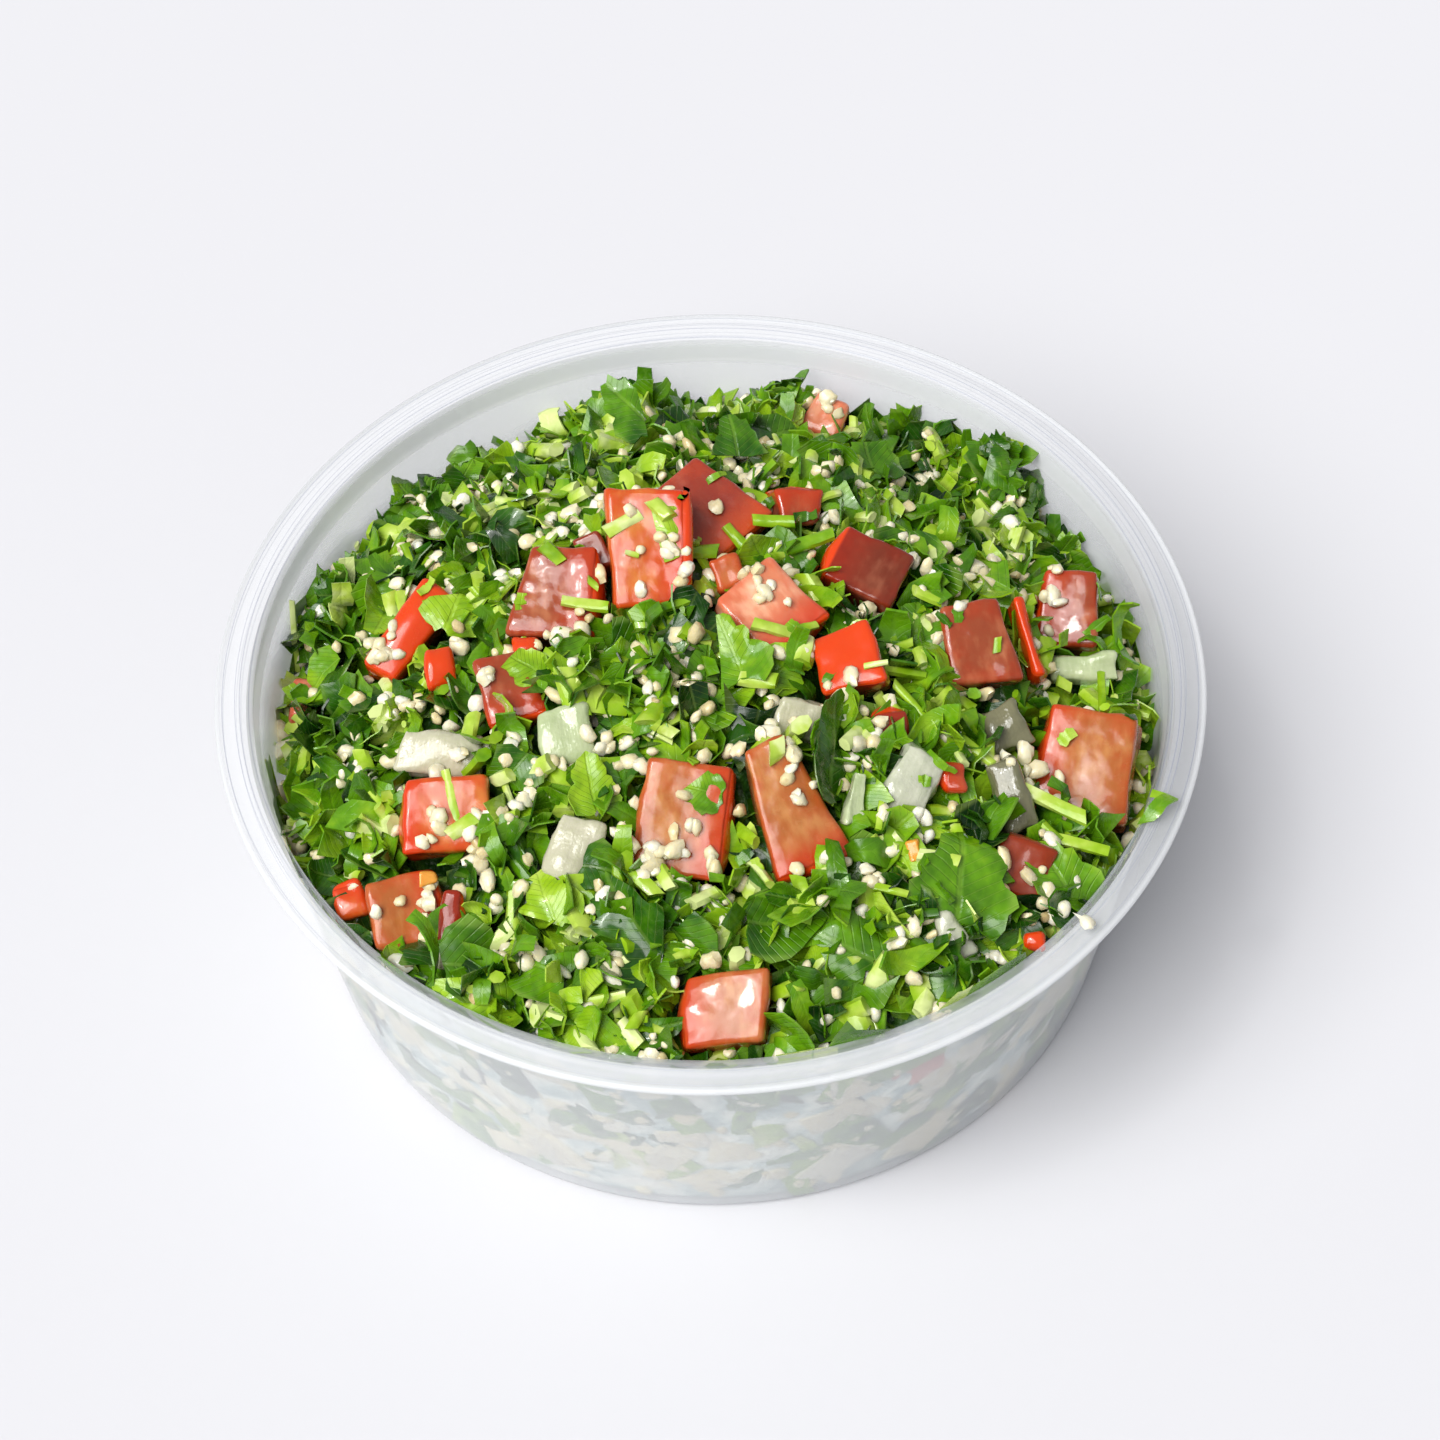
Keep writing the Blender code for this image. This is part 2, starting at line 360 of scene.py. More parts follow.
class Flesh(Enum):
    """Tones of cut tomato: near the skin, in the middle and in the pale streaks, and its wetness."""

    CORAL = ((0.57, 0.036, 0.004), (0.49, 0.080, 0.009), (0.62, 0.23, 0.050), 0.20)
    PEACH = ((0.50, 0.046, 0.007), (0.37, 0.098, 0.019), (0.56, 0.27, 0.090), 0.24)
    BRICK = ((0.26, 0.025, 0.002), (0.21, 0.022, 0.001), (0.26, 0.04, 0.004), 0.4)
    SEED = ((0.72, 0.30, 0.04), (0.74, 0.36, 0.06), (0.80, 0.50, 0.15), 0.2)
    PINK = ((0.57, 0.052, 0.018), (0.61, 0.18, 0.085), (0.86, 0.52, 0.34), 0.14)
    ROSE = ((0.42, 0.034, 0.006), (0.26, 0.044, 0.014), (0.50, 0.19, 0.085), 0.14)
    DUSK = ((0.55, 0.070, 0.014), (0.28, 0.036, 0.020), (0.38, 0.08, 0.04), 0.26)
    WINE = ((0.27, 0.018, 0.005), (0.15, 0.021, 0.007), (0.32, 0.10, 0.05), 0.14)
    SKIN = ((0.60, 0.046, 0.002), (0.50, 0.055, 0.003), (0.62, 0.15, 0.020), 0.22)


@dataclass(frozen=True)
class TomatoFinish:
    """Cut tomato: red skin on one side, wet flesh that pales away from it, soft streaks, and painted shade that darkens
    the flesh towards each piece's edges.
    """

    name: str
    flesh: Flesh
    skin: Triple = (0.63, 0.050, 0.004)
    band: float = 3.8

    def make(self) -> bpy.types.Material:
        """Makes the material."""
        near, middle, streak, roughness = self.flesh.value
        paint = Paint(
            self.name,
            Subsurface_Weight=0.35,
            Subsurface_Radius=(1.0, 0.30, 0.16),
            Subsurface_Scale=0.0022,
            Specular_IOR_Level=0.3,
            Coat_Weight=0.38,
            Coat_Roughness=0.07,
        )
        place = paint.place()
        local = paint.marks("own")
        rind = paint.mark("rind")
        drift = (paint.clouds(place, 2.2, 3.0) - 0.5) * 2.2
        deep = (rind + drift).rise(0.2, self.band * 1.5)
        fibres = paint.clouds(paint.scaled(local, (1.7, 0.8, 1.0)), 2.0, 3.0, 0.5)
        pale = (fibres * 0.5 + paint.clouds(place, 4.2, 2.0) * 0.7).rise(0.52, 0.78)
        # Painted shade: the flesh turns darker and redder towards the block's edges and a little paler in its middle,
        # as if its shaded sides showed.
        shaded_edge = (paint.mark("shaded_edge") + (paint.clouds(place, 2.2, 2.0) - 0.5) * 1.5).rise(0.4, 1.1)
        base = paint.blend(deep, near, middle)
        base = paint.blend((pale * deep * 0.6 + (1.0 - shaded_edge) * 0.08).clamped(), base, streak)
        base = paint.blend(shaded_edge * 0.34, base, near)
        cover = 1.0 - rind.rise(0.30, 0.55)
        base = paint.blend(cover, base, self.skin)
        paint.set("Base Color", base)
        wet = paint.clouds(place, 1.2, 2.0)
        paint.set("Roughness", (roughness + (wet - 0.5) * 0.25 + cover * 0.04).clamped())
        rough = paint.clouds(place, 2.6, 1.0, 0.4) + paint.clouds(place, 0.8, 1.0) * 0.05
        paint.bump(rough * (1.0 - cover * 0.85), 0.7, 0.6)
        return paint.material


@dataclass(frozen=True)
class OnionFinish:
    """Cut onion: white to glassy green, ribbed along its layers."""

    name: str
    body: Triple = (0.80, 0.83, 0.68)
    shade: Triple = (0.62, 0.70, 0.48)
    roughness: float = 0.2

    def make(self) -> bpy.types.Material:
        """Makes the material."""
        paint = Paint(
            self.name,
            Subsurface_Weight=0.35,
            Subsurface_Radius=(0.9, 1.0, 0.7),
            Subsurface_Scale=0.0018,
            Coat_Weight=0.4,
            Coat_Roughness=0.08,
        )
        local = paint.marks("own")
        ribs = paint.clouds(paint.scaled(local, (3.0, 0.45, 1.0)), 1.6, 3.0)
        patches = paint.clouds(paint.place(), 2.0, 3.0)
        share = (ribs * 0.3 + patches * 0.9 - 0.42).clamped()
        paint.set("Base Color", paint.blend(share * 1.6, self.body, self.shade))
        paint.set("Roughness", self.roughness + (patches - 0.5) * 0.4)
        paint.bump(ribs * 0.25 + patches, 0.5, 0.6)
        return paint.material


@dataclass(frozen=True)
class CoreFinish:
    """Packed salad below the top leaves and behind the wall: dark green on top as painted shade for the gaps between
    the leaves, pale and mottled with grains at the wall.
    """

    name: str = "packed_salad_and_gap_shade"

    def make(self) -> bpy.types.Material:
        """Makes the material."""
        paint = Paint(self.name, Roughness=0.45)
        place = paint.place()
        # The dark greens of the top are painted shade: they stand for the deep gaps between the leaves laid over it.
        stops = (
            (0.30, (0.004, 0.020, 0.003)),
            (0.48, (0.018, 0.080, 0.006)),
            (0.60, (0.060, 0.180, 0.012)),
            (0.72, (0.200, 0.340, 0.060)),
        )
        tone = paint.clouds(place, 3.0, 4.0, 0.6)
        top = paint.wire("ValToRGB", {"stops": stops}, {0: tone}).socket
        pressed = (
            (0.30, (0.22, 0.34, 0.34)),
            (0.45, (0.46, 0.58, 0.56)),
            (0.56, (0.74, 0.80, 0.74)),
            (0.70, (0.90, 0.88, 0.80)),
        )
        flat = paint.clouds(paint.scaled(place, (1.0, 1.0, 1.5)), 5.5, 3.0, 0.55)
        side = paint.wire("ValToRGB", {"stops": pressed}, {0: flat}).socket
        paint.set("Base Color", paint.blend(paint.mark("side"), top, side))
        paint.bump(paint.clouds(place, 1.5, 3.0), 1.0, 0.8)
        return paint.material


@dataclass(frozen=True)
class TubFinish:
    """Clear plastic, milky where the salad lies against it and at the rim, with painted dark lines at the flange's
    steps and a painted highlight along its outer bead.
    """

    name: str = "clear_plastic"
    colour: Triple = (0.77, 0.79, 0.81)
    clear: float = 0.25
    misted: float = 0.58
    rim: float = 0.13
    roughness: float = 0.36
    painted_line_colour: Triple = (0.26, 0.29, 0.38)
    painted_lines: tuple = ((54.45, 0.16), (55.45, 0.14), (56.0, 0.12), (57.55, 0.12))

    def make(self) -> bpy.types.Material:
        """Makes the material."""
        paint = Paint(self.name, Base_Color=self.colour, Roughness=self.roughness)
        parts = paint.node("SeparateXYZ", {}, {0: paint.place()})
        along = Wire(paint, parts.outputs[1]) / MM
        height = Wire(paint, parts.outputs[2]) / MM
        level = 34.5 - along * 0.085 + (paint.clouds(paint.place(), 9.0) - 0.5) * 6.0
        mist = 1.0 - (height - level).rise(-2.0, 2.0)
        flange = height.rise(39.6, 40.3)
        neck = height.rise(36.8, 37.6) * 0.26
        near = (0.0 - along).rise(14.0, 46.0) * 0.17
        cover = self.clear + mist * (self.misted - self.clear) + neck
        flat = paint.scaled(paint.place(), (1.0, 1.0, 0.0))
        reach = paint.wire("VectorMath", {"operation": "LENGTH"}, {0: flat}, 1) / MM
        # Painted shade: dark lines at the radii of the flange's steps stand for the dark edges that bent light draws
        # there.
        painted_line_shade = reach * 0.0
        for radius, width in self.painted_lines:
            painted_line_shade = painted_line_shade + reach.rise(radius - width, radius) * (1.0 - reach.rise(radius, radius + width))
        painted_line_shade = (painted_line_shade * flange * (1.0 - near * 2.8)).clamped()
        # The outer bead is made more opaque, so it shows whiter: partly the thicker plastic there, partly a painted
        # highlight along the bead.
        edge = reach.rise(57.6, 58.4)
        paint.set("Base Color", paint.blend(painted_line_shade, self.colour, self.painted_line_colour))
        lid = self.rim + near + edge * 0.36 + painted_line_shade * 0.30
        paint.set("Alpha", (cover + flange * (lid - cover)).clamped())
        return paint.material


@dataclass(frozen=True)
class FloorFinish:
    """Matt white table top."""

    name: str = "table_top"
    colour: Triple = (0.615, 0.617, 0.642)

    def make(self) -> bpy.types.Material:
        """Makes the material."""
        return Paint(self.name, Base_Color=self.colour, Roughness=0.7, Specular_IOR_Level=0.2).material


def finished(thing: bpy.types.Object, slot: str, *nodes: str) -> bpy.types.Object:
    """Hands a finished piece to the frame.

    Args:
        thing: The piece, with its place in its mesh.
        slot: Slot of the record; not used.
        *nodes: Solids that it stands for.

    Returns:
        The piece.
    """
    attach(thing, BODY)
    if nodes:
        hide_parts(*nodes)
    log.info("%s: %d faces", thing.name, len(thing.data.polygons))
    return thing


def link_mesh(name: str, mesh: bpy.types.Mesh, material: bpy.types.Material) -> bpy.types.Object:
    """Puts a mesh into the scene.

    Args:
        name: Name of the object.
        mesh: The mesh.
        material: Its material.

    Returns:
        The new object.
    """
    mesh.materials.append(material)
    thing = bpy.data.objects.new(name, mesh)
    bpy.context.scene.collection.objects.link(thing)
    return thing


def arc(centre: tuple, radius: float, start: float, end: float, steps: int) -> list[tuple]:
    """Gives points on an arc in the plane of radius and height.

    Args:
        centre: Radius and height of the arc's centre.
        radius: Its radius.
        start: First angle, in degrees.
        end: Last angle, in degrees.
        steps: Number of steps.

    Returns:
        The points.
    """
    angles = [math.radians(start + (end - start) * step / steps) for step in range(steps + 1)]
    return [(centre[0] + radius * math.cos(a), centre[1] + radius * math.sin(a)) for a in angles]


def spun(profile: Sequence[tuple], steps: int) -> bmesh.types.BMesh:
    """Spins a profile that starts and ends on the axis into a closed body.

    Args:
        profile: Points of radius and height, in millimetres.
        steps: Steps of the full turn.

    Returns:
        The body, in metres.
    """
    shape = bmesh.new()
    verts = [shape.verts.new((radius * MM, 0.0, height * MM)) for radius, height in profile]
    edges = [shape.edges.new(pair) for pair in zip(verts, verts[1:])]
    turn = {"cent": (0.0, 0.0, 0.0), "axis": (0.0, 0.0, 1.0), "angle": math.tau}
    bmesh.ops.spin(shape, geom=verts + edges, steps=steps, use_merge=True, **turn)
    bmesh.ops.remove_doubles(shape, verts=shape.verts, dist=0.00001)
    bmesh.ops.recalc_face_normals(shape, faces=shape.faces)
    return shape


@dataclass
class Tub:
    """Thin moulded cup with a narrow flange for its lid."""

    steps: int = 224
    rim_radius: float = 58.5
    rim_height: float = 41.5
    heap_top: float = 58.5
    base_radius: float = 49.5
    wall: float = 0.7
    floor: float = 0.8
    wall_top: float = 38.0
    wall_top_radius: float = 54.45
    neck_top: float = 40.0
    corner: float = 1.2
    bead: float = 0.5
    ridge_radius: float = 55.75
    groove: float = 0.4
    mouth: tuple = (54.15, 40.6)
    finish: TubFinish = field(default_factory=TubFinish)

    def inner_radius(self, height: float) -> float:
        """Gives the radius of the inner wall at a height."""
        slope = (self.wall_top_radius - self.base_radius) / self.wall_top
        return self.base_radius - self.wall + slope * height

    def hold(self, points: np.ndarray) -> np.ndarray:
        """Presses points that would leave the tub against its wall and floor.

        Args:
            points: Points, in millimetres.

        Returns:
            The points, none of them beyond the middle of the wall.
        """
        held = points.copy()
        held[:, 2] = np.clip(held[:, 2], self.floor * 0.6, self.heap_top)
        flat = np.hypot(held[:, 0], held[:, 1])
        slope = (self.wall_top_radius - self.base_radius) / self.wall_top
        room = self.base_radius - self.wall * 0.6 + slope * np.minimum(held[:, 2], self.wall_top)
        room = np.minimum(room, self.base_radius - self.corner + np.sqrt(np.maximum(held[:, 2], 0.0)) * self.corner)
        room = np.where(held[:, 2] > self.rim_height, self.rim_radius, room)
        held[:, :2] *= np.minimum(1.0, room / np.maximum(flat, 1.0))[:, None]
        return held

    def profile(self) -> list[tuple]:
        """Gives the outline from the middle of the base, up the outside and down the inside."""
        points = [(0.0, 0.0)]
        points += arc((self.base_radius - self.corner, self.corner), self.corner, -90, 0, 6)
        points.append((self.wall_top_radius, self.wall_top))
        points.append((self.wall_top_radius + 0.4, self.neck_top))
        bead = (self.rim_radius - self.bead, self.rim_height - self.groove - self.bead)
        points.append((self.rim_radius - 2.0 * self.bead, self.neck_top + 0.1))
        points += arc(bead, self.bead, -60, 90, 9)
        points.append((self.rim_radius - 3.0 * self.bead, self.rim_height - self.groove - 0.15))
        points.append((self.ridge_radius + 0.5, self.rim_height - 0.14))
        points.append((self.ridge_radius, self.rim_height))
        points.append((self.ridge_radius - 0.5, self.rim_height - 0.16))
        points.append(self.mouth)
        points.append((self.inner_radius(self.wall_top), self.wall_top))
        foot = (self.inner_radius(self.floor) - self.corner, self.floor + self.corner)
        points += arc(foot, self.corner, 0, -90, 6)
        points.append((0.0, self.floor))
        return points

    def build(self) -> bpy.types.Object:
        """Makes the tub."""
        mesh = bpy.data.meshes.new("tub_shell")
        shape = spun(self.profile(), self.steps)
        shape.to_mesh(mesh)
        shape.free()
        mesh.shade_smooth()
        mesh.set_sharp_from_angle(angle=math.radians(38.0))
        return finished(link_mesh("tub_shell", mesh, self.finish.make()), "tub", "tub")


class Heap:
    """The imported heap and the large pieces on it: finds the surface below a place."""

    def __init__(self, nodes: dict[str, bpy.types.Object]) -> None:
        """Reads the solids.

        Args:
            nodes: Solids of the part, by name.
        """
        self.ground = self._tree([nodes["salad"]])
        tops = [thing for name, thing in nodes.items() if name.startswith(("tomato", "onion"))]
        self.tops = self._tree(tops)

    @staticmethod
    def _tree(things: Sequence[bpy.types.Object]) -> BVHTree:
        """Joins meshes into one search tree, in millimetres."""
        verts: list[Vector] = []
        faces: list[tuple] = []
        for thing in things:
            first = len(verts)
            verts += [vert.co / MM for vert in thing.data.vertices]
            faces += [tuple(first + i for i in face.vertices) for face in thing.data.polygons]
        return BVHTree.FromPolygons(verts, faces)

    def height(self, x: float, y: float) -> Optional[float]:
        """Gives the height of the heap without its large pieces, or None beside it."""
        hit = self.ground.ray_cast(Vector((x, y, 90.0)), Vector((0.0, 0.0, -1.0)))[0]
        return None if hit is None else hit.z

    def covered(self, place: Vector, room: float) -> bool:
        """Tells whether a large piece lies over a place or within some room of it.

        Args:
            place: The place.
            room: Least distance to a large piece.

        Returns:
            True if the place isn't free.
        """
        if self.tops.find_nearest(place, room)[0] is not None:
            return True
        return self.tops.ray_cast(place, Vector((0.0, 0.0, 1.0)), 12.0)[0] is not None

    def top(self, x: float, y: float) -> Optional[tuple[Vector, Vector]]:
        """Finds the uppermost surface, large pieces included.

        Args:
            x: Place across.
            y: Place along.

        Returns:
            The point and the way it faces, or None beside the heap.
        """
        down = Vector((0.0, 0.0, -1.0))
        best = None
        for tree in (self.ground, self.tops):
            point, normal, _, _ = tree.ray_cast(Vector((x, y, 90.0)), down)
            if point is not None and (best is None or point.z > best[0].z):
                best = (point, normal)
        return best

    def slope(self, x: float, y: float, reach: float = 2.5) -> Optional[tuple[Vector, Vector]]:
        """Finds the heap's surface with the way it faces over a few millimetres.

        Args:
            x: Place across.
            y: Place along.
            reach: Distance over which the slope is taken.

        Returns:
            The point and its normal, or None beside the heap.
        """
        middle = self.height(x, y)
        if middle is None:
            return None
        near = [self.height(x + dx, y + dy) for dx, dy in ((reach, 0), (-reach, 0), (0, reach), (0, -reach))]
        east, west, north, south = [middle if z is None else z for z in near]
        steep = 1.3 * reach
        across = max(-steep, min(steep, (west - east) / 2.0))
        along = max(-steep, min(steep, (south - north) / 2.0))
        return Vector((x, y, middle)), Vector((across, along, reach)).normalized()


@dataclass(frozen=True)
class Form:
    """One small shape that is laid many times: points, triangles and the marks of each point."""

    points: np.ndarray
    faces: np.ndarray
    marks: np.ndarray


def curled(flat: np.ndarray, along: float, across: float, twist: float) -> np.ndarray:
    """Curls a flat shape.

    Args:
        flat: Points, with the length on Y and the width on X.
        along: Curl along its length, in radians a millimetre.
        across: Fold across its width, in 1/mm.
        twist: Twist about its length, in radians a millimetre.

    Returns:
        The curled points.
    """
    x, y, z = flat.T
    z = z + across * x * x
    turn = twist * y
    x, z = x * np.cos(turn) - z * np.sin(turn), x * np.sin(turn) + z * np.cos(turn)
    bend = along if abs(along) > 1e-4 else 1e-4
    angle = bend * y
    return np.stack((x, np.sin(angle) * (1.0 / bend - z), (1.0 - np.cos(angle)) / bend + z * np.cos(angle)), 1)


class Sheet:
    """Makes small thin shapes by cutting a flat sheet, thickening it and curling it."""

    def __init__(self, dice: random.Random) -> None:
        """Keeps the dice for the uneven outlines."""
        self.dice = dice

    def _close(self, shape: bmesh.types.BMesh, thick: float, curl: Triple, half: tuple, vein: float) -> Form:
        """Thickens and curls a flat shape.

        Args:
            shape: The flat shape, in millimetres.
            thick: Its thickness.
            curl: Curl along, fold across and twist.
            half: Half its width and half its length, for the marks.
            vein: How clearly its veins show.

        Returns:
            The finished form.
        """
        bmesh.ops.recalc_face_normals(shape, faces=shape.faces)
        low = [min(vert.co[axis] for vert in shape.verts) - thick for axis in range(3)]
        high = [max(vert.co[axis] for vert in shape.verts) + thick for axis in range(3)]
        bmesh.ops.solidify(shape, geom=shape.faces, thickness=thick)
        shape.normal_update()
        bmesh.ops.recalc_face_normals(shape, faces=shape.faces)
        for vert in shape.verts:
            vert.co = [min(top, max(base, value)) for base, value, top in zip(low, vert.co, high)]
        return self.frozen(shape, curl, half, vein)

    @staticmethod
    def frozen(shape: bmesh.types.BMesh, curl: Triple, half: tuple, vein: float) -> Form:
        """Turns a shape into arrays.

        Args:
            shape: The shape, in millimetres.
            curl: Curl along, fold across and twist.
            half: Half its width and half its length, for the marks.
            vein: How clearly its veins show.

        Returns:
            The finished form.
        """
        bmesh.ops.triangulate(shape, faces=shape.faces)
        shape.verts.index_update()
        flat = np.array([vert.co for vert in shape.verts])
        faces = np.array([[vert.index for vert in face.verts] for face in shape.faces])
        shape.free()
        marks = np.stack((flat[:, 0] / half[0], flat[:, 1] / half[1], np.full(len(flat), vein)), 1)
        points = curled(flat, *curl)
        corners = points[faces]
        if np.einsum("ij,ij->", corners[:, 0], np.cross(corners[:, 1], corners[:, 2])) < 0.0:
            faces = faces[:, ::-1]
        return Form(points, faces, marks)

    @staticmethod
    def _keep_largest(shape: bmesh.types.BMesh) -> None:
        """Drops the crumbs that knife cuts leave beside a leaf.

        Args:
            shape: The flat shape.
        """
        left = set(shape.verts)
        islands = []
        while left:
            island, edge = set(), [next(iter(left))]
            while edge:
                vert = edge.pop()
                if vert not in island:
                    island.add(vert)
                    edge.extend(link.other_vert(vert) for link in vert.link_edges)
            islands.append(island)
            left -= island
        crumbs = [vert for island in sorted(islands, key=len)[:-1] for vert in island]
        bmesh.ops.delete(shape, geom=crumbs, context="VERTS")

    def _bends(self, along: float, across: float, twist: float) -> Triple:
        """Gives a random curl up to the given amounts."""
        dice = self.dice
        return dice.gauss(0, along), dice.gauss(0, across), dice.gauss(0, twist)

    def scrap(self, width: float, length: float) -> Form:
        """Makes a four-sided bit of leaf with uneven knife-cut sides.

        Args:
            width: Its width.
            length: Its length.

        Returns:
            The form.
        """
        shape = bmesh.new()
        bmesh.ops.create_grid(shape, x_segments=3, y_segments=3, size=0.5)
        shear = self.dice.uniform(-0.5, 0.5)
        taper = self.dice.uniform(-0.55, 0.55)
        for vert in shape.verts:
            x, y, _ = vert.co
            x = x * (1.0 + taper * y * 2.0) + shear * y * 0.6
            ragged = 0.09 if max(abs(vert.co.x), abs(vert.co.y)) > 0.4 else 0.03
            x += self.dice.uniform(-ragged, ragged)
            y += self.dice.uniform(-ragged, ragged)
            vert.co = (x * width, y * length, self.dice.gauss(0, 0.1))
        curl = self._bends(0.28, 0.16, 0.09)
        return self._close(shape, 0.2, curl, (width / 2, length / 2), 0.5)

    def blade(self, radius: float, fine: int, teeth: float, cuts: int, bends: Triple = (0.2, 0.1, 0.06)) -> Form:
        """Makes a leaflet with teeth round its edge, or a part of one that knife cuts have left.

        Args:
            radius: Its mean radius.
            fine: Faces along each side of the sheet that it is shaped from.
            teeth: Depth of its teeth, over the radius.
            cuts: Number of knife cuts through it.
            bends: Spread of its curl along, fold across and twist.

        Returns:
            The form.
        """
        dice = self.dice
        shape = bmesh.new()
        bmesh.ops.create_grid(shape, x_segments=fine, y_segments=fine, size=1.0)
        long = dice.uniform(1.0, 1.35)
        phase = dice.uniform(0.0, math.tau)
        wave = dice.uniform(0.12, 0.24)
        shift = Vector([dice.uniform(-40, 40) for _ in range(3)])
        for vert in shape.verts:
            u, v, _ = vert.co
            x = u * math.sqrt(1.0 - v * v / 2.0)
            y = v * math.sqrt(1.0 - u * u / 2.0)
            reach = math.hypot(x, y)
            angle = math.atan2(y, x)
            edge = 1.0 + wave * math.cos(3.0 * angle - math.pi * 1.5) + 0.08 * math.cos(2.0 * angle + phase)
            if reach > 0.98:
                edge += dice.uniform(-teeth, teeth)
            swell = 1.0 + (edge - 1.0) * reach
            ripple = noise.noise(Vector((x, y, 0.0)) * 1.7 + shift) * 0.22 * radius
            vert.co = (x * swell * radius, y * swell * radius * long, ripple)
        for _ in range(cuts):
            angle = dice.uniform(0.0, math.tau)
            way = Vector((math.cos(angle), math.sin(angle), 0.0))
            where = way * radius * dice.uniform(0.15, 0.65)
            everything = shape.verts[:] + shape.edges[:] + shape.faces[:]
            bmesh.ops.bisect_plane(shape, geom=everything, plane_co=where, plane_no=way, clear_outer=True)
        bmesh.ops.remove_doubles(shape, verts=shape.verts, dist=0.08)
        self._keep_largest(shape)
        curl = self._bends(*bends)
        return self._close(shape, 0.16, curl, (radius, radius * long), 1.0)

    def shred(self, width: float, length: float) -> Form:
        """Makes a thin curled strip of leaf.

        Args:
            width: Its width.
            length: Its length.

        Returns:
            The form.
        """
        shape = bmesh.new()
        bmesh.ops.create_grid(shape, x_segments=1, y_segments=6, size=0.5)
        for vert in shape.verts:
            x, y, _ = vert.co
            narrow = 1.0 - 1.3 * abs(y) ** 2 * self.dice.uniform(0.6, 1.2)
            vert.co = (x * width * narrow + self.dice.gauss(0, 0.12), y * length, self.dice.gauss(0, 0.12))
        curl = (self.dice.choice((-1, 1)) * self.dice.uniform(0.1, 0.5), self.dice.gauss(0, 0.15), self.dice.gauss(0, 0.1))
        return self._close(shape, 0.24, curl, (width, length / 2), 0.3)

    def stalk(self, radius: float, length: float) -> Form:
        """Makes a bit of cut stalk.

        Args:
            radius: Its radius.
            length: Its length.

        Returns:
            The form.
        """
        shape = bmesh.new()
        ends = {"radius1": radius, "radius2": radius * self.dice.uniform(0.8, 1.0)}
        bmesh.ops.create_cone(shape, cap_ends=True, segments=7, depth=length, **ends)
        sides = [edge for edge in shape.edges if abs(edge.verts[0].co.z - edge.verts[1].co.z) > length * 0.5]
        bmesh.ops.subdivide_edges(shape, edges=sides, cuts=2, use_grid_fill=True)
        slant = self.dice.gauss(0, 0.35)
        for vert in shape.verts:
            x, y, z = vert.co
            end = slant * x if abs(z) > length * 0.45 else 0.0
            squash = self.dice.uniform(0.88, 1.08)
            vert.co = (x * squash, z + end, y * 0.75 * squash)
        shape.normal_update()
        bmesh.ops.recalc_face_normals(shape, faces=shape.faces)
        return self.frozen(shape, self._bends(0.05, 0.0, 0.0), (radius * 30.0, length / 2), 0.0)

    def grain(self, size: float, long: float) -> Form:
        """Makes one grain.

        Args:
            size: Its width.
            long: Its length over its width.

        Returns:
            The form.
        """
        shape = bmesh.new()
        bmesh.ops.create_icosphere(shape, subdivisions=2, radius=size / 2.0)
        shift = Vector([self.dice.uniform(-50, 50) for _ in range(3)])
        for vert in shape.verts:
            swell = 1.0 + 0.5 * noise.noise(vert.co * (1.4 / size) + shift)
            swell += 0.26 * noise.noise(vert.co * (3.4 / size) + shift)
            x, y, z = vert.co * swell
            vert.co = (x, y * long, z * 0.8)
        return self.frozen(shape, (0.0, 0.0, 0.0), (size * 30.0, size), 0.0)

    def chip(self, size: Triple) -> Form:
        """Makes a small cut chip with soft edges.

        Args:
            size: Its width, length and thickness.

        Returns:
            The form.
        """
        shape = bmesh.new()
        bmesh.ops.create_cube(shape, size=1.0)
        for vert in shape.verts:
            wobble = [self.dice.uniform(0.75, 1.1) for _ in range(3)]
            vert.co = [value * part * spread for value, part, spread in zip(vert.co, size, wobble)]
        soft = {"offset": min(size) * 0.3, "offset_type": "OFFSET", "segments": 2, "profile": 0.5}
        bmesh.ops.bevel(shape, geom=shape.edges[:], affect="EDGES", material=-1, clamp_overlap=True, **soft)
        return self.frozen(shape, (0.0, self.dice.gauss(0, 0.04), 0.0), (size[0] * 30.0, size[1] / 2), 0.0)


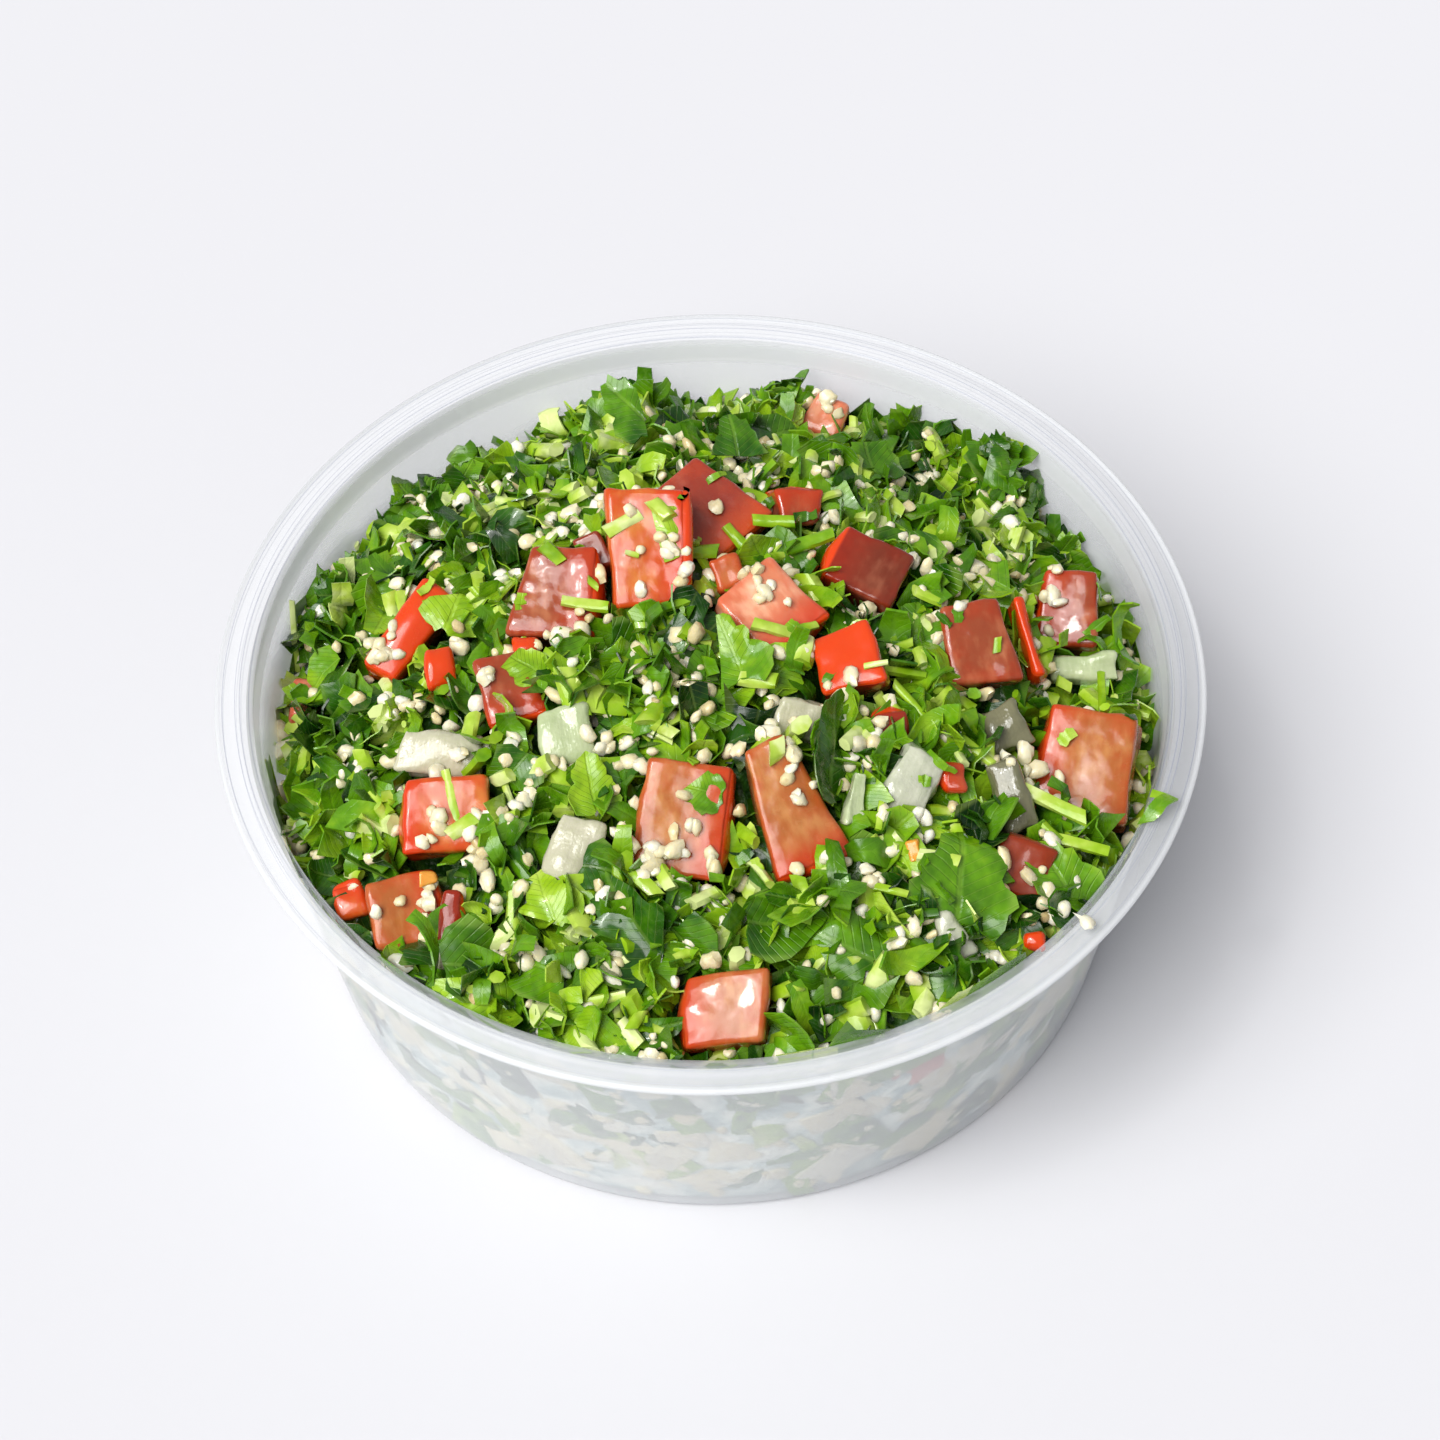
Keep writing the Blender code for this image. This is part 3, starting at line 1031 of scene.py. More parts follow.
class Swarm:
    """Many small pieces of one kind, joined into one mesh."""

    tub = Tub()

    def __init__(self, name: str, forms: Sequence[Form]) -> None:
        """Starts with no pieces.

        Args:
            name: Name of the joined piece.
            forms: Forms that the small pieces are picked from.
        """
        self.name = name
        self.forms = list(forms)
        self.points: list[np.ndarray] = []
        self.faces: list[np.ndarray] = []
        self.marks: list[np.ndarray] = []
        self.tints: list[np.ndarray] = []
        self.count = 0
        self.laid = 0

    def lay(self, form: Form, turn: np.ndarray, place: Sequence[float], size: float, tint: float) -> None:
        """Lays one piece.

        Args:
            form: Its form.
            turn: Its three axes, as the columns of a matrix.
            place: Its place, in millimetres.
            size: Scale of the form.
            tint: Shade of it, from 0 to 1.
        """
        points = self.tub.hold(form.points * size @ turn.T + np.asarray(place))
        self.points.append(points)
        self.faces.append(form.faces + self.count)
        self.marks.append(form.marks)
        self.tints.append(np.full(len(points), tint))
        self.count += len(points)
        self.laid += 1

    def build(self, finish: object, slot: str) -> bpy.types.Object:
        """Joins the pieces.

        Args:
            finish: Finish with a make method.
            slot: Slot of the record.

        Returns:
            The joined object.
        """
        points = np.concatenate(self.points) * MM
        faces = np.concatenate(self.faces)
        mesh = bpy.data.meshes.new(self.name)
        mesh.from_pydata(points, [], faces)
        mesh.attributes.new("tint", "FLOAT", "POINT").data.foreach_set("value", np.concatenate(self.tints))
        leaf = mesh.attributes.new("leaf", "FLOAT_VECTOR", "POINT")
        leaf.data.foreach_set("vector", np.concatenate(self.marks).ravel())
        mesh.shade_smooth()
        mesh.set_sharp_from_angle(angle=math.radians(50.0))
        mesh.update()
        log.info("%s: %d laid", self.name, self.laid)
        return finished(link_mesh(self.name, mesh, finish.make()), slot)


def axes(normal: Vector, spin: float, tilt: float, lean: float) -> np.ndarray:
    """Gives the axes of a piece that lies on a slope.

    Args:
        normal: The way that the slope faces.
        spin: Turn about the normal, in radians.
        tilt: Tilt away from the slope, in radians.
        lean: Turn about its own length, in radians.

    Returns:
        A matrix with the three axes as its columns.
    """
    base = normal.to_track_quat("Z", "Y").to_matrix()
    turn = Matrix.Rotation(spin, 3, "Z") @ Matrix.Rotation(tilt, 3, "X") @ Matrix.Rotation(lean, 3, "Y")
    return np.array(base @ turn)


@dataclass
class Core:
    """The heap below its top leaves: follows the heap a little lower, and reaches into the wall."""

    heap: Heap
    tub: Tub
    steps: int = 160
    rings: int = 56
    sink: float = 4.2
    relief: float = 1.6
    bite: float = 0.05

    def build(self) -> bpy.types.Object:
        """Makes the core."""
        foot = self.tub.floor - self.bite
        radius = self.tub.inner_radius(foot) + self.bite
        corner = self.tub.corner
        profile = [(0.0, foot)]
        profile += arc((radius - corner, foot + corner), corner, -90, 0, 5)
        profile += [(radius * (1.0 - ring / self.rings), 100.0) for ring in range(self.rings)]
        profile.append((0.0, 100.0))
        shape = spun(profile, self.steps)
        side = []
        for vert in shape.verts:
            on_top = vert.co.z > 99.0 * MM
            side.append(0.0 if on_top and vert.co.xy.length < radius * 0.99 * MM else 1.0)
            if on_top:
                vert.co = self._surface(vert.co.x / MM / radius, vert.co.y / MM / radius) * MM
        mesh = bpy.data.meshes.new("packed_salad_and_gap_shade")
        shape.to_mesh(mesh)
        shape.free()
        mesh.attributes.new("side", "FLOAT", "POINT").data.foreach_set("value", side)
        mesh.shade_smooth()
        return finished(link_mesh("packed_salad_and_gap_shade", mesh, CoreFinish().make()), "salad", "salad")

    def _surface(self, across: float, along: float) -> Vector:
        """Gives a point of the core's top.

        Args:
            across: Place across, over the core's radius.
            along: Place along, over the core's radius.

        Returns:
            The point, in millimetres.
        """
        reach = math.hypot(across, along)
        edge = self.tub.inner_radius(34.0) - 1.2
        x = across * edge
        y = along * edge
        found = self.heap.height(x, y)
        height = (28.0 if found is None else found) - self.sink
        height += self.relief * noise.noise(Vector((x, y, 3.0)) / 3.2)
        height += 0.8 * noise.noise(Vector((x, y, 9.0)) / 1.4)
        if reach > 0.985:
            wall = (self.tub.inner_radius(height) + self.bite) / (edge * reach)
            x *= wall
            y *= wall
        return Vector((x, y, height))


@dataclass
class Chopped:
    """The chopped leaves, stalks and grains that cover the heap and show through the wall."""

    heap: Heap
    tub: Tub
    dice: random.Random = field(default_factory=lambda: random.Random("parsley"))
    scraps: int = 1500
    lobes: int = 720
    shreds: int = 820
    stalks: int = 760
    grains: int = 700
    clusters: int = 44
    wall_leaves: int = 340
    wall_grains: int = 520
    wall_chips: int = 230
    window: Triple = (22.2, -46.4, 25.0)
    clump: float = 1.7
    spots: tuple = (
        (-26.0, 15.8), (-24.5, 9.6), (-7.8, -1.1), (-17.2, -0.9), (-1.0, -5.0), (-5.7, -12.8), (4.4, 2.1),
        (7.2, 0.8), (16.5, 1.3), (10.4, -6.9), (15.3, -12.6), (-9.2, -20.1), (-17.1, -19.3), (-12.5, -16.1),
        (-26.5, -7.7), (-27.5, -15.3), (5.7, -13.0), (18.0, -17.5), (27.8, -15.3), (32.9, -17.5), (18.3, -34.0),
        (13.9, -33.1), (-10.6, -42.5), (-1.6, -33.2), (-7.1, -31.9), (-2.6, -28.7), (9.8, -25.2), (8.8, -21.7),
        (-35.0, -5.4), (-37.9, 2.3), (-30.8, -25.4), (-41.7, -9.6), (-33.0, -33.7), (-38.8, -34.1),
        (39.9, -18.2), (50.5, 8.3), (40.6, -34.9), (45.9, -6.1), (-26.1, 41.1), (-6.9, 50.7), (-16.2, 37.7),
        (6.8, 27.1),
    )

    def _spot(self) -> tuple[float, float]:
        """Gives a random place inside the wall."""
        radius = self.tub.inner_radius(33.0) * math.sqrt(self.dice.random())
        angle = self.dice.uniform(0.0, math.tau)
        return radius * math.cos(angle), radius * math.sin(angle)

    def _tint(self, x: float, y: float, middle: float, spread: float) -> float:
        """Gives the shade of a piece, alike for those near each other.

        Args:
            x: Place across.
            y: Place along.
            middle: Mean shade.
            spread: Spread of the shades.

        Returns:
            The shade, from 0 to 1.
        """
        patch = noise.noise(Vector((x, y, 21.0)) / 6.5) * 0.5
        return min(1.0, max(0.0, middle + patch + self.dice.gauss(0.0, spread)))

    def scatter(
        self,
        swarm: Swarm,
        count: int,
        depth: tuple,
        tilt: float,
        shade: tuple,
        room: float = 0.3,
    ) -> None:
        """Scatters pieces over the heap.

        Args:
            swarm: Swarm that takes them.
            count: Number of tries.
            depth: Highest and lowest place over the surface, in millimetres.
            tilt: Spread of their tilt, in radians.
            shade: Mean and spread of their shade.
            room: Least distance of their middle from a large piece.
        """
        dice = self.dice
        for _ in range(count):
            x, y = self._spot()
            found = self.heap.slope(x, y)
            if found is None:
                continue
            point, normal = found
            clump = self.clump * noise.noise(Vector((x, y, 40.0)) / 5.0)
            place = point + normal * (dice.uniform(*depth) + clump)
            if self.heap.covered(place, room):
                continue
            swirl = noise.noise(Vector((x, y, 60.0)) / 9.0) * math.tau * 1.5 + dice.gauss(0, 0.6)
            turn = axes(normal, swirl, dice.gauss(0, tilt), dice.gauss(0, tilt))
            tint = self._tint(place.x, place.y, *shade)
            swarm.lay(dice.choice(swarm.forms), turn, place, dice.uniform(0.75, 1.2), tint)

    def _leaves(self) -> None:
        """Makes the cut leaves on top."""
        sheet = Sheet(self.dice)
        uni = self.dice.uniform
        scraps = Swarm("leaf_scraps", [sheet.scrap(uni(2.4, 5.0), uni(3.8, 7.8)) for _ in range(40)])
        self.scatter(scraps, self.scraps, (-3.4, 0.1), 0.7, (0.42, 0.14), 1.7)
        scraps.build(LeafFinish("parsley_scraps"), "salad")
        lobes = Swarm("leaf_lobes", [sheet.blade(uni(2.2, 3.9), 4, 0.12, self.dice.randint(0, 2)) for _ in range(36)])
        self.scatter(lobes, self.lobes, (-2.4, 0.2), 0.6, (0.42, 0.14), 1.7)
        lobes.build(LeafFinish("parsley_lobes"), "salad")
        shreds = Swarm("leaf_shreds", [sheet.shred(uni(1.5, 3.4), uni(5.5, 11.5)) for _ in range(36)])
        self.scatter(shreds, self.shreds, (-2.3, 0.5), 0.6, (0.48, 0.15), 1.4)
        shreds.build(LeafFinish("parsley_shreds"), "salad")

    def _stalks(self) -> None:
        """Makes the cut stalks."""
        sheet = Sheet(self.dice)
        uni = self.dice.uniform
        stalks = Swarm("stalks", [sheet.stalk(uni(0.55, 1.5), uni(1.8, 5.4)) for _ in range(36)])
        self.scatter(stalks, self.stalks, (-1.6, 0.6), 0.5, (0.82, 0.12), 1.2)
        self._strays(stalks, 70, (0.86, 0.1))
        stalks.build(LeafFinish("parsley_stalks", 0.28), "salad")
        strays = Swarm("stray_leaves", [sheet.shred(uni(0.9, 2.2), uni(2.4, 5.0)) for _ in range(18)])
        self._strays(strays, 80, (0.5, 0.2))
        strays.build(LeafFinish("parsley_strays"), "salad")

    def _grains(self) -> None:
        """Makes the bulgur, loose and in clusters."""
        sheet = Sheet(self.dice)
        uni = self.dice.uniform
        grains = Swarm("bulgur", [sheet.grain(uni(1.2, 2.2), uni(1.0, 1.6)) for _ in range(32)])
        self.scatter(grains, self.grains, (-0.9, 0.9), 1.0, (0.66, 0.2), 0.1)
        for x, y in self.spots:
            self.cluster(grains, x, y, self.dice.randint(2, 5), 1.1)
        grains.lay(grains.forms[0], turned(0, 0, 40), (41.2, -38.6, 42.1), 1.0, 0.9)
        for _ in range(self.clusters):
            x, y = self._spot()
            self.cluster(grains, x, y, self.dice.randint(3, 8), 1.9)
        grains.build(GrainFinish(), "salad")

    def _strays(self, swarm: Swarm, count: int, shade: tuple) -> None:
        """Drops loose pieces on whatever is uppermost, the large pieces too.

        Args:
            swarm: Swarm that takes them.
            count: Number of pieces.
            shade: Mean and spread of their shade.
        """
        dice = self.dice
        for _ in range(count):
            x, y = self._spot()
            found = self.heap.top(x * 0.94, y * 0.94)
            if found is None:
                continue
            turn = axes(found[1], dice.uniform(0, math.tau), dice.gauss(0, 0.2), dice.gauss(0, 0.2))
            tint = min(1.0, max(0.0, dice.gauss(*shade)))
            swarm.lay(dice.choice(swarm.forms), turn, found[0] + found[1] * 0.3, dice.uniform(0.6, 0.95), tint)

    def cluster(self, swarm: Swarm, x: float, y: float, count: int, spread: float) -> None:
        """Lays a few grains close together on whatever is uppermost.

        Args:
            swarm: Swarm that takes them.
            x: Place across.
            y: Place along.
            count: Number of grains.
            spread: Spread of the cluster.
        """
        dice = self.dice
        for _ in range(count):
            px = x + dice.gauss(0, spread)
            py = y + dice.gauss(0, spread)
            found = self.heap.top(px, py)
            if found is None or math.hypot(px, py) > self.tub.inner_radius(found[0].z) - 1.6:
                continue
            place = found[0] + found[1] * dice.uniform(0.0, 0.5)
            turn = axes(found[1], dice.uniform(0, math.tau), dice.gauss(0, 0.4), dice.gauss(0, 0.4))
            swarm.lay(dice.choice(swarm.forms), turn, place, dice.uniform(0.75, 1.1), dice.uniform(0.4, 0.95))

    def _on_wall(self, swarm: Swarm, count: int, reach: tuple, shade: tuple, tilt: float, below: float) -> None:
        """Presses pieces against the inside of the wall.

        Args:
            swarm: Swarm that takes them.
            count: Number of pieces.
            reach: How far their middle lies inside the wall's face, in millimetres.
            shade: Mean and spread of their shade.
            tilt: Spread of their tilt, in radians.
            below: How far they keep below the top of the salad, in millimetres.
        """
        dice = self.dice
        for _ in range(count):
            angle = dice.uniform(0, math.tau)
            edge = self.tub.inner_radius(33.0) - 2.0
            level = self.heap.height(edge * math.cos(angle), edge * math.sin(angle)) or 28.0
            z = dice.uniform(2.2, level - below)
            radius = self.tub.inner_radius(z) - dice.uniform(*reach)
            normal = Vector((math.cos(angle), math.sin(angle), -0.13)).normalized()
            if math.dist((radius * math.cos(angle), radius * math.sin(angle), z), self.window) < 4.2:
                continue
            turn = axes(normal, dice.uniform(0, math.tau), dice.gauss(0, tilt), dice.gauss(0, tilt))
            place = (radius * math.cos(angle), radius * math.sin(angle), z)
            tint = min(1.0, max(0.0, dice.gauss(*shade)))
            swarm.lay(dice.choice(swarm.forms), turn, place, dice.uniform(0.8, 1.3), tint)

    def _wall(self) -> None:
        """Makes what shows through the wall."""
        sheet = Sheet(self.dice)
        uni = self.dice.uniform
        flat = []
        for _ in range(30):
            form = sheet.scrap(uni(2.0, 5.5), uni(5.0, 10.0))
            points = form.points.copy()
            points[:, 2] *= 0.18
            flat.append(Form(points, form.faces, form.marks))
        leaves = Swarm("wall_leaves", flat)
        self._on_wall(leaves, self.wall_leaves, (-0.25, 0.1), (0.52, 0.24), 0.05, 0.0)
        leaves.build(LeafFinish("parsley_at_wall"), "salad")
        grains = Swarm("wall_bulgur", [sheet.grain(uni(1.5, 2.7), uni(1.0, 1.7)) for _ in range(16)])
        self._on_wall(grains, self.wall_grains, (0.3, 0.7), (0.75, 0.15), 0.5, 1.0)
        grains.build(GrainFinish("bulgur_at_wall"), "salad")
        chips = Swarm("wall_onion", [sheet.chip((uni(3.0, 6.5), uni(4.0, 9.0), 1.4)) for _ in range(16)])
        self._on_wall(chips, self.wall_chips, (0.45, 0.65), (0.80, 0.15), 0.04, 6.0)
        chips.build(GrainFinish("onion_at_wall", 0.25), "salad")

    def build(self) -> None:
        """Makes all of it."""
        self._leaves()
        self._stalks()
        self._grains()
        self._wall()


class Side(Enum):
    """Side of a cut piece that carries the skin, as a direction in the piece's own axes."""

    LEFT = (-1, 0, 0)
    RIGHT = (1, 0, 0)
    NEAR = (0, -1, 0)
    FAR = (0, 1, 0)
    TOP = (0, 0, 1)
    BELOW = (0, 0, -1)


@dataclass(frozen=True)
class Cut:
    """A knife-cut piece: its block, its angles and how it looks.

    place is its centre and size its width, depth and thickness. far is the width of the far end over
    that of the near end, and skew how far the far end is shifted sideways. lean, roll and spin are in
    degrees. look is its flesh or its finish, skin the side with the skin and swell how rounded it is.
    """

    place: Triple
    size: Triple
    far: float = 1.0
    skew: float = 0.0
    lean: float = 28.0
    roll: float = 0.0
    spin: float = 0.0
    look: object = None
    skin: Side = Side.BELOW
    swell: float = 0.35


class Cutter:
    """Makes knife-cut pieces with soft edges, uneven faces and a bulging skin."""

    def __init__(self, edge: float, warp: float, fine: int = 5, lumps: float = 1.0) -> None:
        """Keeps the measures that all pieces share.

        Args:
            edge: Width of the soft edges.
            warp: How far each corner wanders.
            fine: Cuts of each face's edges.
            lumps: How lumpy the faces are.
        """
        self.lumps = lumps
        self.edge = edge
        self.warp = warp
        self.fine = fine

    def _block(self, cut: Cut, name: str) -> bmesh.types.BMesh:
        """Makes the plain block with wandering corners.

        Args:
            cut: The piece.
            name: Its name, which sets how the corners wander.

        Returns:
            The block, about its own centre.
        """
        dice = random.Random(name)
        shape = bmesh.new()
        bmesh.ops.create_cube(shape, size=1.0)
        width, depth, thickness = cut.size
        for vert in sorted(shape.verts, key=lambda v: (v.co.z, v.co.y, v.co.x)):
            side, end, face = (math.copysign(1.0, value) for value in vert.co)
            far = end > 0.0
            half_width = width * (cut.far if far else 1.0) / 2.0
            wobble = Vector([dice.uniform(-self.warp, self.warp) for _ in range(3)])
            corner = Vector((side * half_width + (cut.skew if far else 0.0), end * depth / 2.0, face * thickness / 2.0))
            vert.co = corner + wobble
        return shape

    def build(self, cut: Cut, name: str, slot: str, finish: object) -> bpy.types.Object:
        """Makes one piece and lays it in the heap.

        Args:
            cut: The piece.
            name: Its name, which is that of the solid it stands for where there is one.
            slot: Slot of the record.
            finish: Finish with a make method.

        Returns:
            The piece.
        """
        shape = self._block(cut, name)
        soft = {"offset": self.edge, "offset_type": "OFFSET", "segments": 3, "profile": 0.5}
        bmesh.ops.bevel(shape, geom=shape.edges[:], affect="EDGES", material=-1, clamp_overlap=True, **soft)
        long = [edge for edge in shape.edges if edge.calc_length() > 1.6]
        bmesh.ops.subdivide_edges(shape, edges=long, cuts=self.fine, use_grid_fill=True)
        shift = Vector([random.Random(name + "lumps").uniform(-40, 40) for _ in range(3)])
        way = Vector(cut.skin.value)
        half = Vector(cut.size) * 0.5
        reach = sum(abs(a * b) for a, b in zip(way, half))
        bmesh.ops.recalc_face_normals(shape, faces=shape.faces)
        rind, own, shaded_edge = [], [], []
        for vert in shape.verts:
            normal = vert.normal.copy()
            start = vert.co.copy()
            share = [abs(a) / b for a, b in zip(start, half)]
            bulge = max(0.0, normal.dot(way)) * math.prod(1.0 - min(1.0, s * s) for s, w in zip(share, way) if w == 0)
            lump = 0.42 * noise.noise(start / 3.4 + shift) + 0.2 * noise.noise(start / 1.4 + shift)
            vert.co = start + normal * (bulge * cut.swell * 2.0 + lump * self.lumps)
            rind.append(max(0.0, reach - start.dot(way)))
            own.append(start * MM)
            # How near a point lies to the block's edges, which the tomato finish turns into painted shade.
            shaded_edge.append(sorted(share)[1])
        bmesh.ops.smooth_vert(shape, verts=shape.verts, factor=0.25, use_axis_x=True, use_axis_y=True, use_axis_z=True)
        turn = Matrix.Rotation(math.radians(cut.lean), 4, "X") @ Matrix.Rotation(math.radians(cut.roll), 4, "Y")
        turn = turn @ Matrix.Rotation(math.radians(cut.spin), 4, "Z")
        bmesh.ops.transform(shape, matrix=Matrix.Scale(MM, 4) @ Matrix.Translation(cut.place) @ turn, verts=shape.verts)
        mesh = bpy.data.meshes.new(name + "_piece")
        shape.to_mesh(mesh)
        shape.free()
        mesh.attributes.new("rind", "FLOAT", "POINT").data.foreach_set("value", rind)
        mesh.attributes.new("shaded_edge", "FLOAT", "POINT").data.foreach_set("value", shaded_edge)
        flat = [value for place in own for value in place]
        mesh.attributes.new("own", "FLOAT_VECTOR", "POINT").data.foreach_set("vector", flat)
        mesh.shade_smooth()
        stands_for = [name] if name in frame["nodes"] else []
        return finished(link_mesh(name + "_piece", mesh, finish.make()), slot, *stands_for)


@dataclass(frozen=True)
class Leaf:
    """A leaflet laid at a place of its own: size, angles in degrees, shade and knife cuts."""

    place: Triple
    radius: float
    lean: float
    roll: float
    spin: float
    tint: float
    cuts: int = 0


@dataclass(frozen=True)
class Stalk:
    """A bit of stalk laid at a place of its own: size, angles in degrees and shade."""

    place: Triple
    radius: float
    length: float
    lean: float
    roll: float
    spin: float
    tint: float


@dataclass(frozen=True)
class Ribbon:
    """A strip of leaf laid at a place of its own: size, angles in degrees and shade."""

    place: Triple
    width: float
    length: float
    lean: float
    roll: float
    spin: float
    tint: float


@dataclass(frozen=True)
class Tuft:
    """Leaflets that stand up together: where, how many, how wide they spread and how high."""

    x: float
    y: float
    count: int
    spread: float
    rise: float


def turned(lean: float, roll: float, spin: float) -> np.ndarray:
    """Gives the axes of a piece from its angles.

    Args:
        lean: Turn about X, in degrees.
        roll: Turn about Y, in degrees.
        spin: Turn about Z, in degrees.

    Returns:
        A matrix with the three axes as its columns.
    """
    turn = Matrix.Rotation(math.radians(lean), 3, "X") @ Matrix.Rotation(math.radians(roll), 3, "Y")
    return np.array(turn @ Matrix.Rotation(math.radians(spin), 3, "Z"))


@dataclass
class Garnish:
    """Leaves, stalks and bits that stand out, each at its own place."""

    heap: Heap
    dice: random.Random = field(default_factory=lambda: random.Random("garnish"))
    leaves: tuple = (
        Leaf((27.2, -34.9, 44.2), 6.0, 26, 12, -8, 0.40),
        Leaf((13.1, -41.4, 44.0), 5.2, 26, -8, 62, 0.42, 1),
        Leaf((39.0, -32.0, 41.0), 4.2, 20, 18, 30, 0.48, 1),
        Leaf((13.4, -20.6, 50.2), 5.2, 30, 58, 4, 0.22),
        Leaf((3.0, -7.6, 52.4), 3.6, 22, -10, 20, 0.56, 1),
        Leaf((-26.2, -45.1, 40.4), 4.2, 30, 10, 70, 0.62, 1),
        Leaf((-18.5, -35.9, 44.9), 3.2, 20, -14, 20, 0.74, 1),
        Leaf((-8.4, -40.0, 45.0), 4.8, 40, -20, 35, 0.20, 1),
        Leaf((-29.9, 6.2, 46.0), 3.4, 12, 8, -20, 0.74, 1),
        Leaf((-13.5, -23.4, 49.0), 3.0, 22, 14, 10, 0.66),
        Leaf((34.9, 9.3, 43.4), 4.4, 10, -12, 55, 0.50, 1),
        Leaf((-5.2, 8.3, 56.5), 2.8, 30, 4, 70, 0.76, 1),
        Leaf((-1.0, -25.4, 50.9), 2.4, 32, 0, 75, 0.50, 1),
        Leaf((-21.5, -6.0, 50.2), 2.4, 20, 10, 60, 0.70, 1),
        Leaf((20.6, 31.0, 42.4), 3.8, 10, 20, 20, 0.36, 1),
        Leaf((-8.4, 36.5, 46.5), 3.8, 14, -12, 40, 0.34, 1),
        Leaf((4.0, 27.0, 49.2), 3.4, 14, 12, 10, 0.26, 1),
    )
    stalks: tuple = (
        Stalk((-9.6, 9.4, 56.4), 1.0, 4.6, 30, 0, -62, 0.93),
        Stalk((45.6, -8.0, 42.6), 0.55, 8.0, 62, 0, 4, 0.62),
        Stalk((38.6, -22.0, 42.2), 0.95, 8.5, 24, 0, 62, 0.86),
        Stalk((41.0, -27.0, 41.2), 0.75, 7.5, 22, 0, 74, 0.80),
        Stalk((5.5, -10.5, 51.6), 1.05, 4.4, 12, 0, 84, 0.84),
        Stalk((25.0, -31.6, 45.6), 0.85, 4.6, 22, 0, 78, 0.95),
        Stalk((-29.4, -22.6, 47.4), 0.6, 6.0, 30, 0, 12, 0.88),
        Stalk((24.0, -13.0, 47.8), 0.6, 9.5, 30, 0, 38, 0.72),
        Stalk((-14.2, 1.2, 51.8), 0.75, 5.6, 18, 0, 80, 0.84),
        Stalk((12.2, 10.2, 51.4), 0.9, 6.0, 14, 0, -70, 0.56),
        Stalk((8.0, 13.4, 51.6), 0.85, 5.0, 14, 0, 84, 0.66),
        Stalk((-50.9, 13.3, 32.4), 0.45, 9.5, 62, 0, 0, 1.0),
    )
    ribbons: tuple = (
        Ribbon((50.9, -22.8, 42.6), 1.8, 6.4, 0, 0, -45, 0.56),
        Ribbon((48.8, 6.0, 38.6), 1.8, 11.0, 50, 40, 0, 0.5),
        Ribbon((47.4, 3.0, 38.8), 1.5, 9.0, 20, 60, 40, 0.42),
        Ribbon((-31.0, -40.4, 43.0), 2.2, 10.0, 10, 70, 30, 0.5),
        Ribbon((-22.0, -41.4, 43.6), 2.4, 10.0, 30, 60, 70, 0.4),
        Ribbon((-9.5, -33.5, 47.2), 2.4, 10.0, 20, 70, 60, 0.36),
        Ribbon((-24.0, -30.6, 46.6), 2.0, 9.0, 70, 10, 20, 0.46),
        Ribbon((-44.0, -17.6, 39.6), 2.2, 9.0, 60, 30, 10, 0.4),
    )
    tufts: tuple = (
        Tuft(37.5, 32.5, 26, 3.4, 3.2),
        Tuft(28.5, 41.0, 20, 3.0, 2.8),
        Tuft(43.0, 24.5, 14, 2.6, 2.0),
        Tuft(10.5, 48.5, 14, 2.8, 2.0),
        Tuft(-11.0, 49.0, 12, 2.6, 2.2),
        Tuft(-30.0, 39.5, 12, 2.4, 2.2),
        Tuft(-38.5, 31.5, 12, 2.4, 1.4),
        Tuft(-46.0, 17.0, 14, 2.4, 2.2),
    )

    def build(self) -> None:
        """Makes them."""
        sheet = Sheet(self.dice)
        whole = Swarm("whole_leaves", [])
        for leaf in self.leaves:
            form = sheet.blade(leaf.radius, 8, 0.13, leaf.cuts, (0.08, 0.05, 0.03))
            whole.lay(form, turned(leaf.lean, leaf.roll, leaf.spin), leaf.place, 1.0, leaf.tint)
        for tuft in self.tufts:
            self._stand(whole, sheet, tuft)
        for ribbon in self.ribbons:
            form = sheet.shred(ribbon.width, ribbon.length)
            whole.lay(form, turned(ribbon.lean, ribbon.roll, ribbon.spin), ribbon.place, 1.0, ribbon.tint)
        whole.build(LeafFinish("parsley_leaflets"), "salad")
        sticks = Swarm("laid_stalks", [])
        for stalk in self.stalks:
            form = sheet.stalk(stalk.radius, stalk.length)
            sticks.lay(form, turned(stalk.lean, stalk.roll, stalk.spin), stalk.place, 1.0, stalk.tint)
        sticks.build(LeafFinish("parsley_laid_stalks", 0.28), "salad")

    def _stand(self, swarm: Swarm, sheet: Sheet, tuft: Tuft) -> None:
        """Stands the leaflets of one tuft up.

        Args:
            swarm: Swarm that takes them.
            sheet: Maker of the forms.
            tuft: The tuft.
        """
        dice = self.dice
        for _ in range(tuft.count):
            x = tuft.x + dice.gauss(0, tuft.spread)
            y = tuft.y + dice.gauss(0, tuft.spread)
            height = self.heap.height(x, y)
            if height is None:
                continue
            form = sheet.blade(dice.uniform(1.6, 3.2), 7, 0.3, dice.randint(0, 1), (0.16, 0.12, 0.1))
            if dice.random() < 0.35:
                form = sheet.shred(dice.uniform(1.2, 2.2), dice.uniform(5.0, 9.0))
            turn = turned(dice.uniform(20, 75), dice.gauss(0, 30), dice.uniform(-180, 180))
            swarm.lay(form, turn, (x, y, height + dice.uniform(-1.2, tuft.rise)), 1.0, dice.uniform(0.16, 0.56))


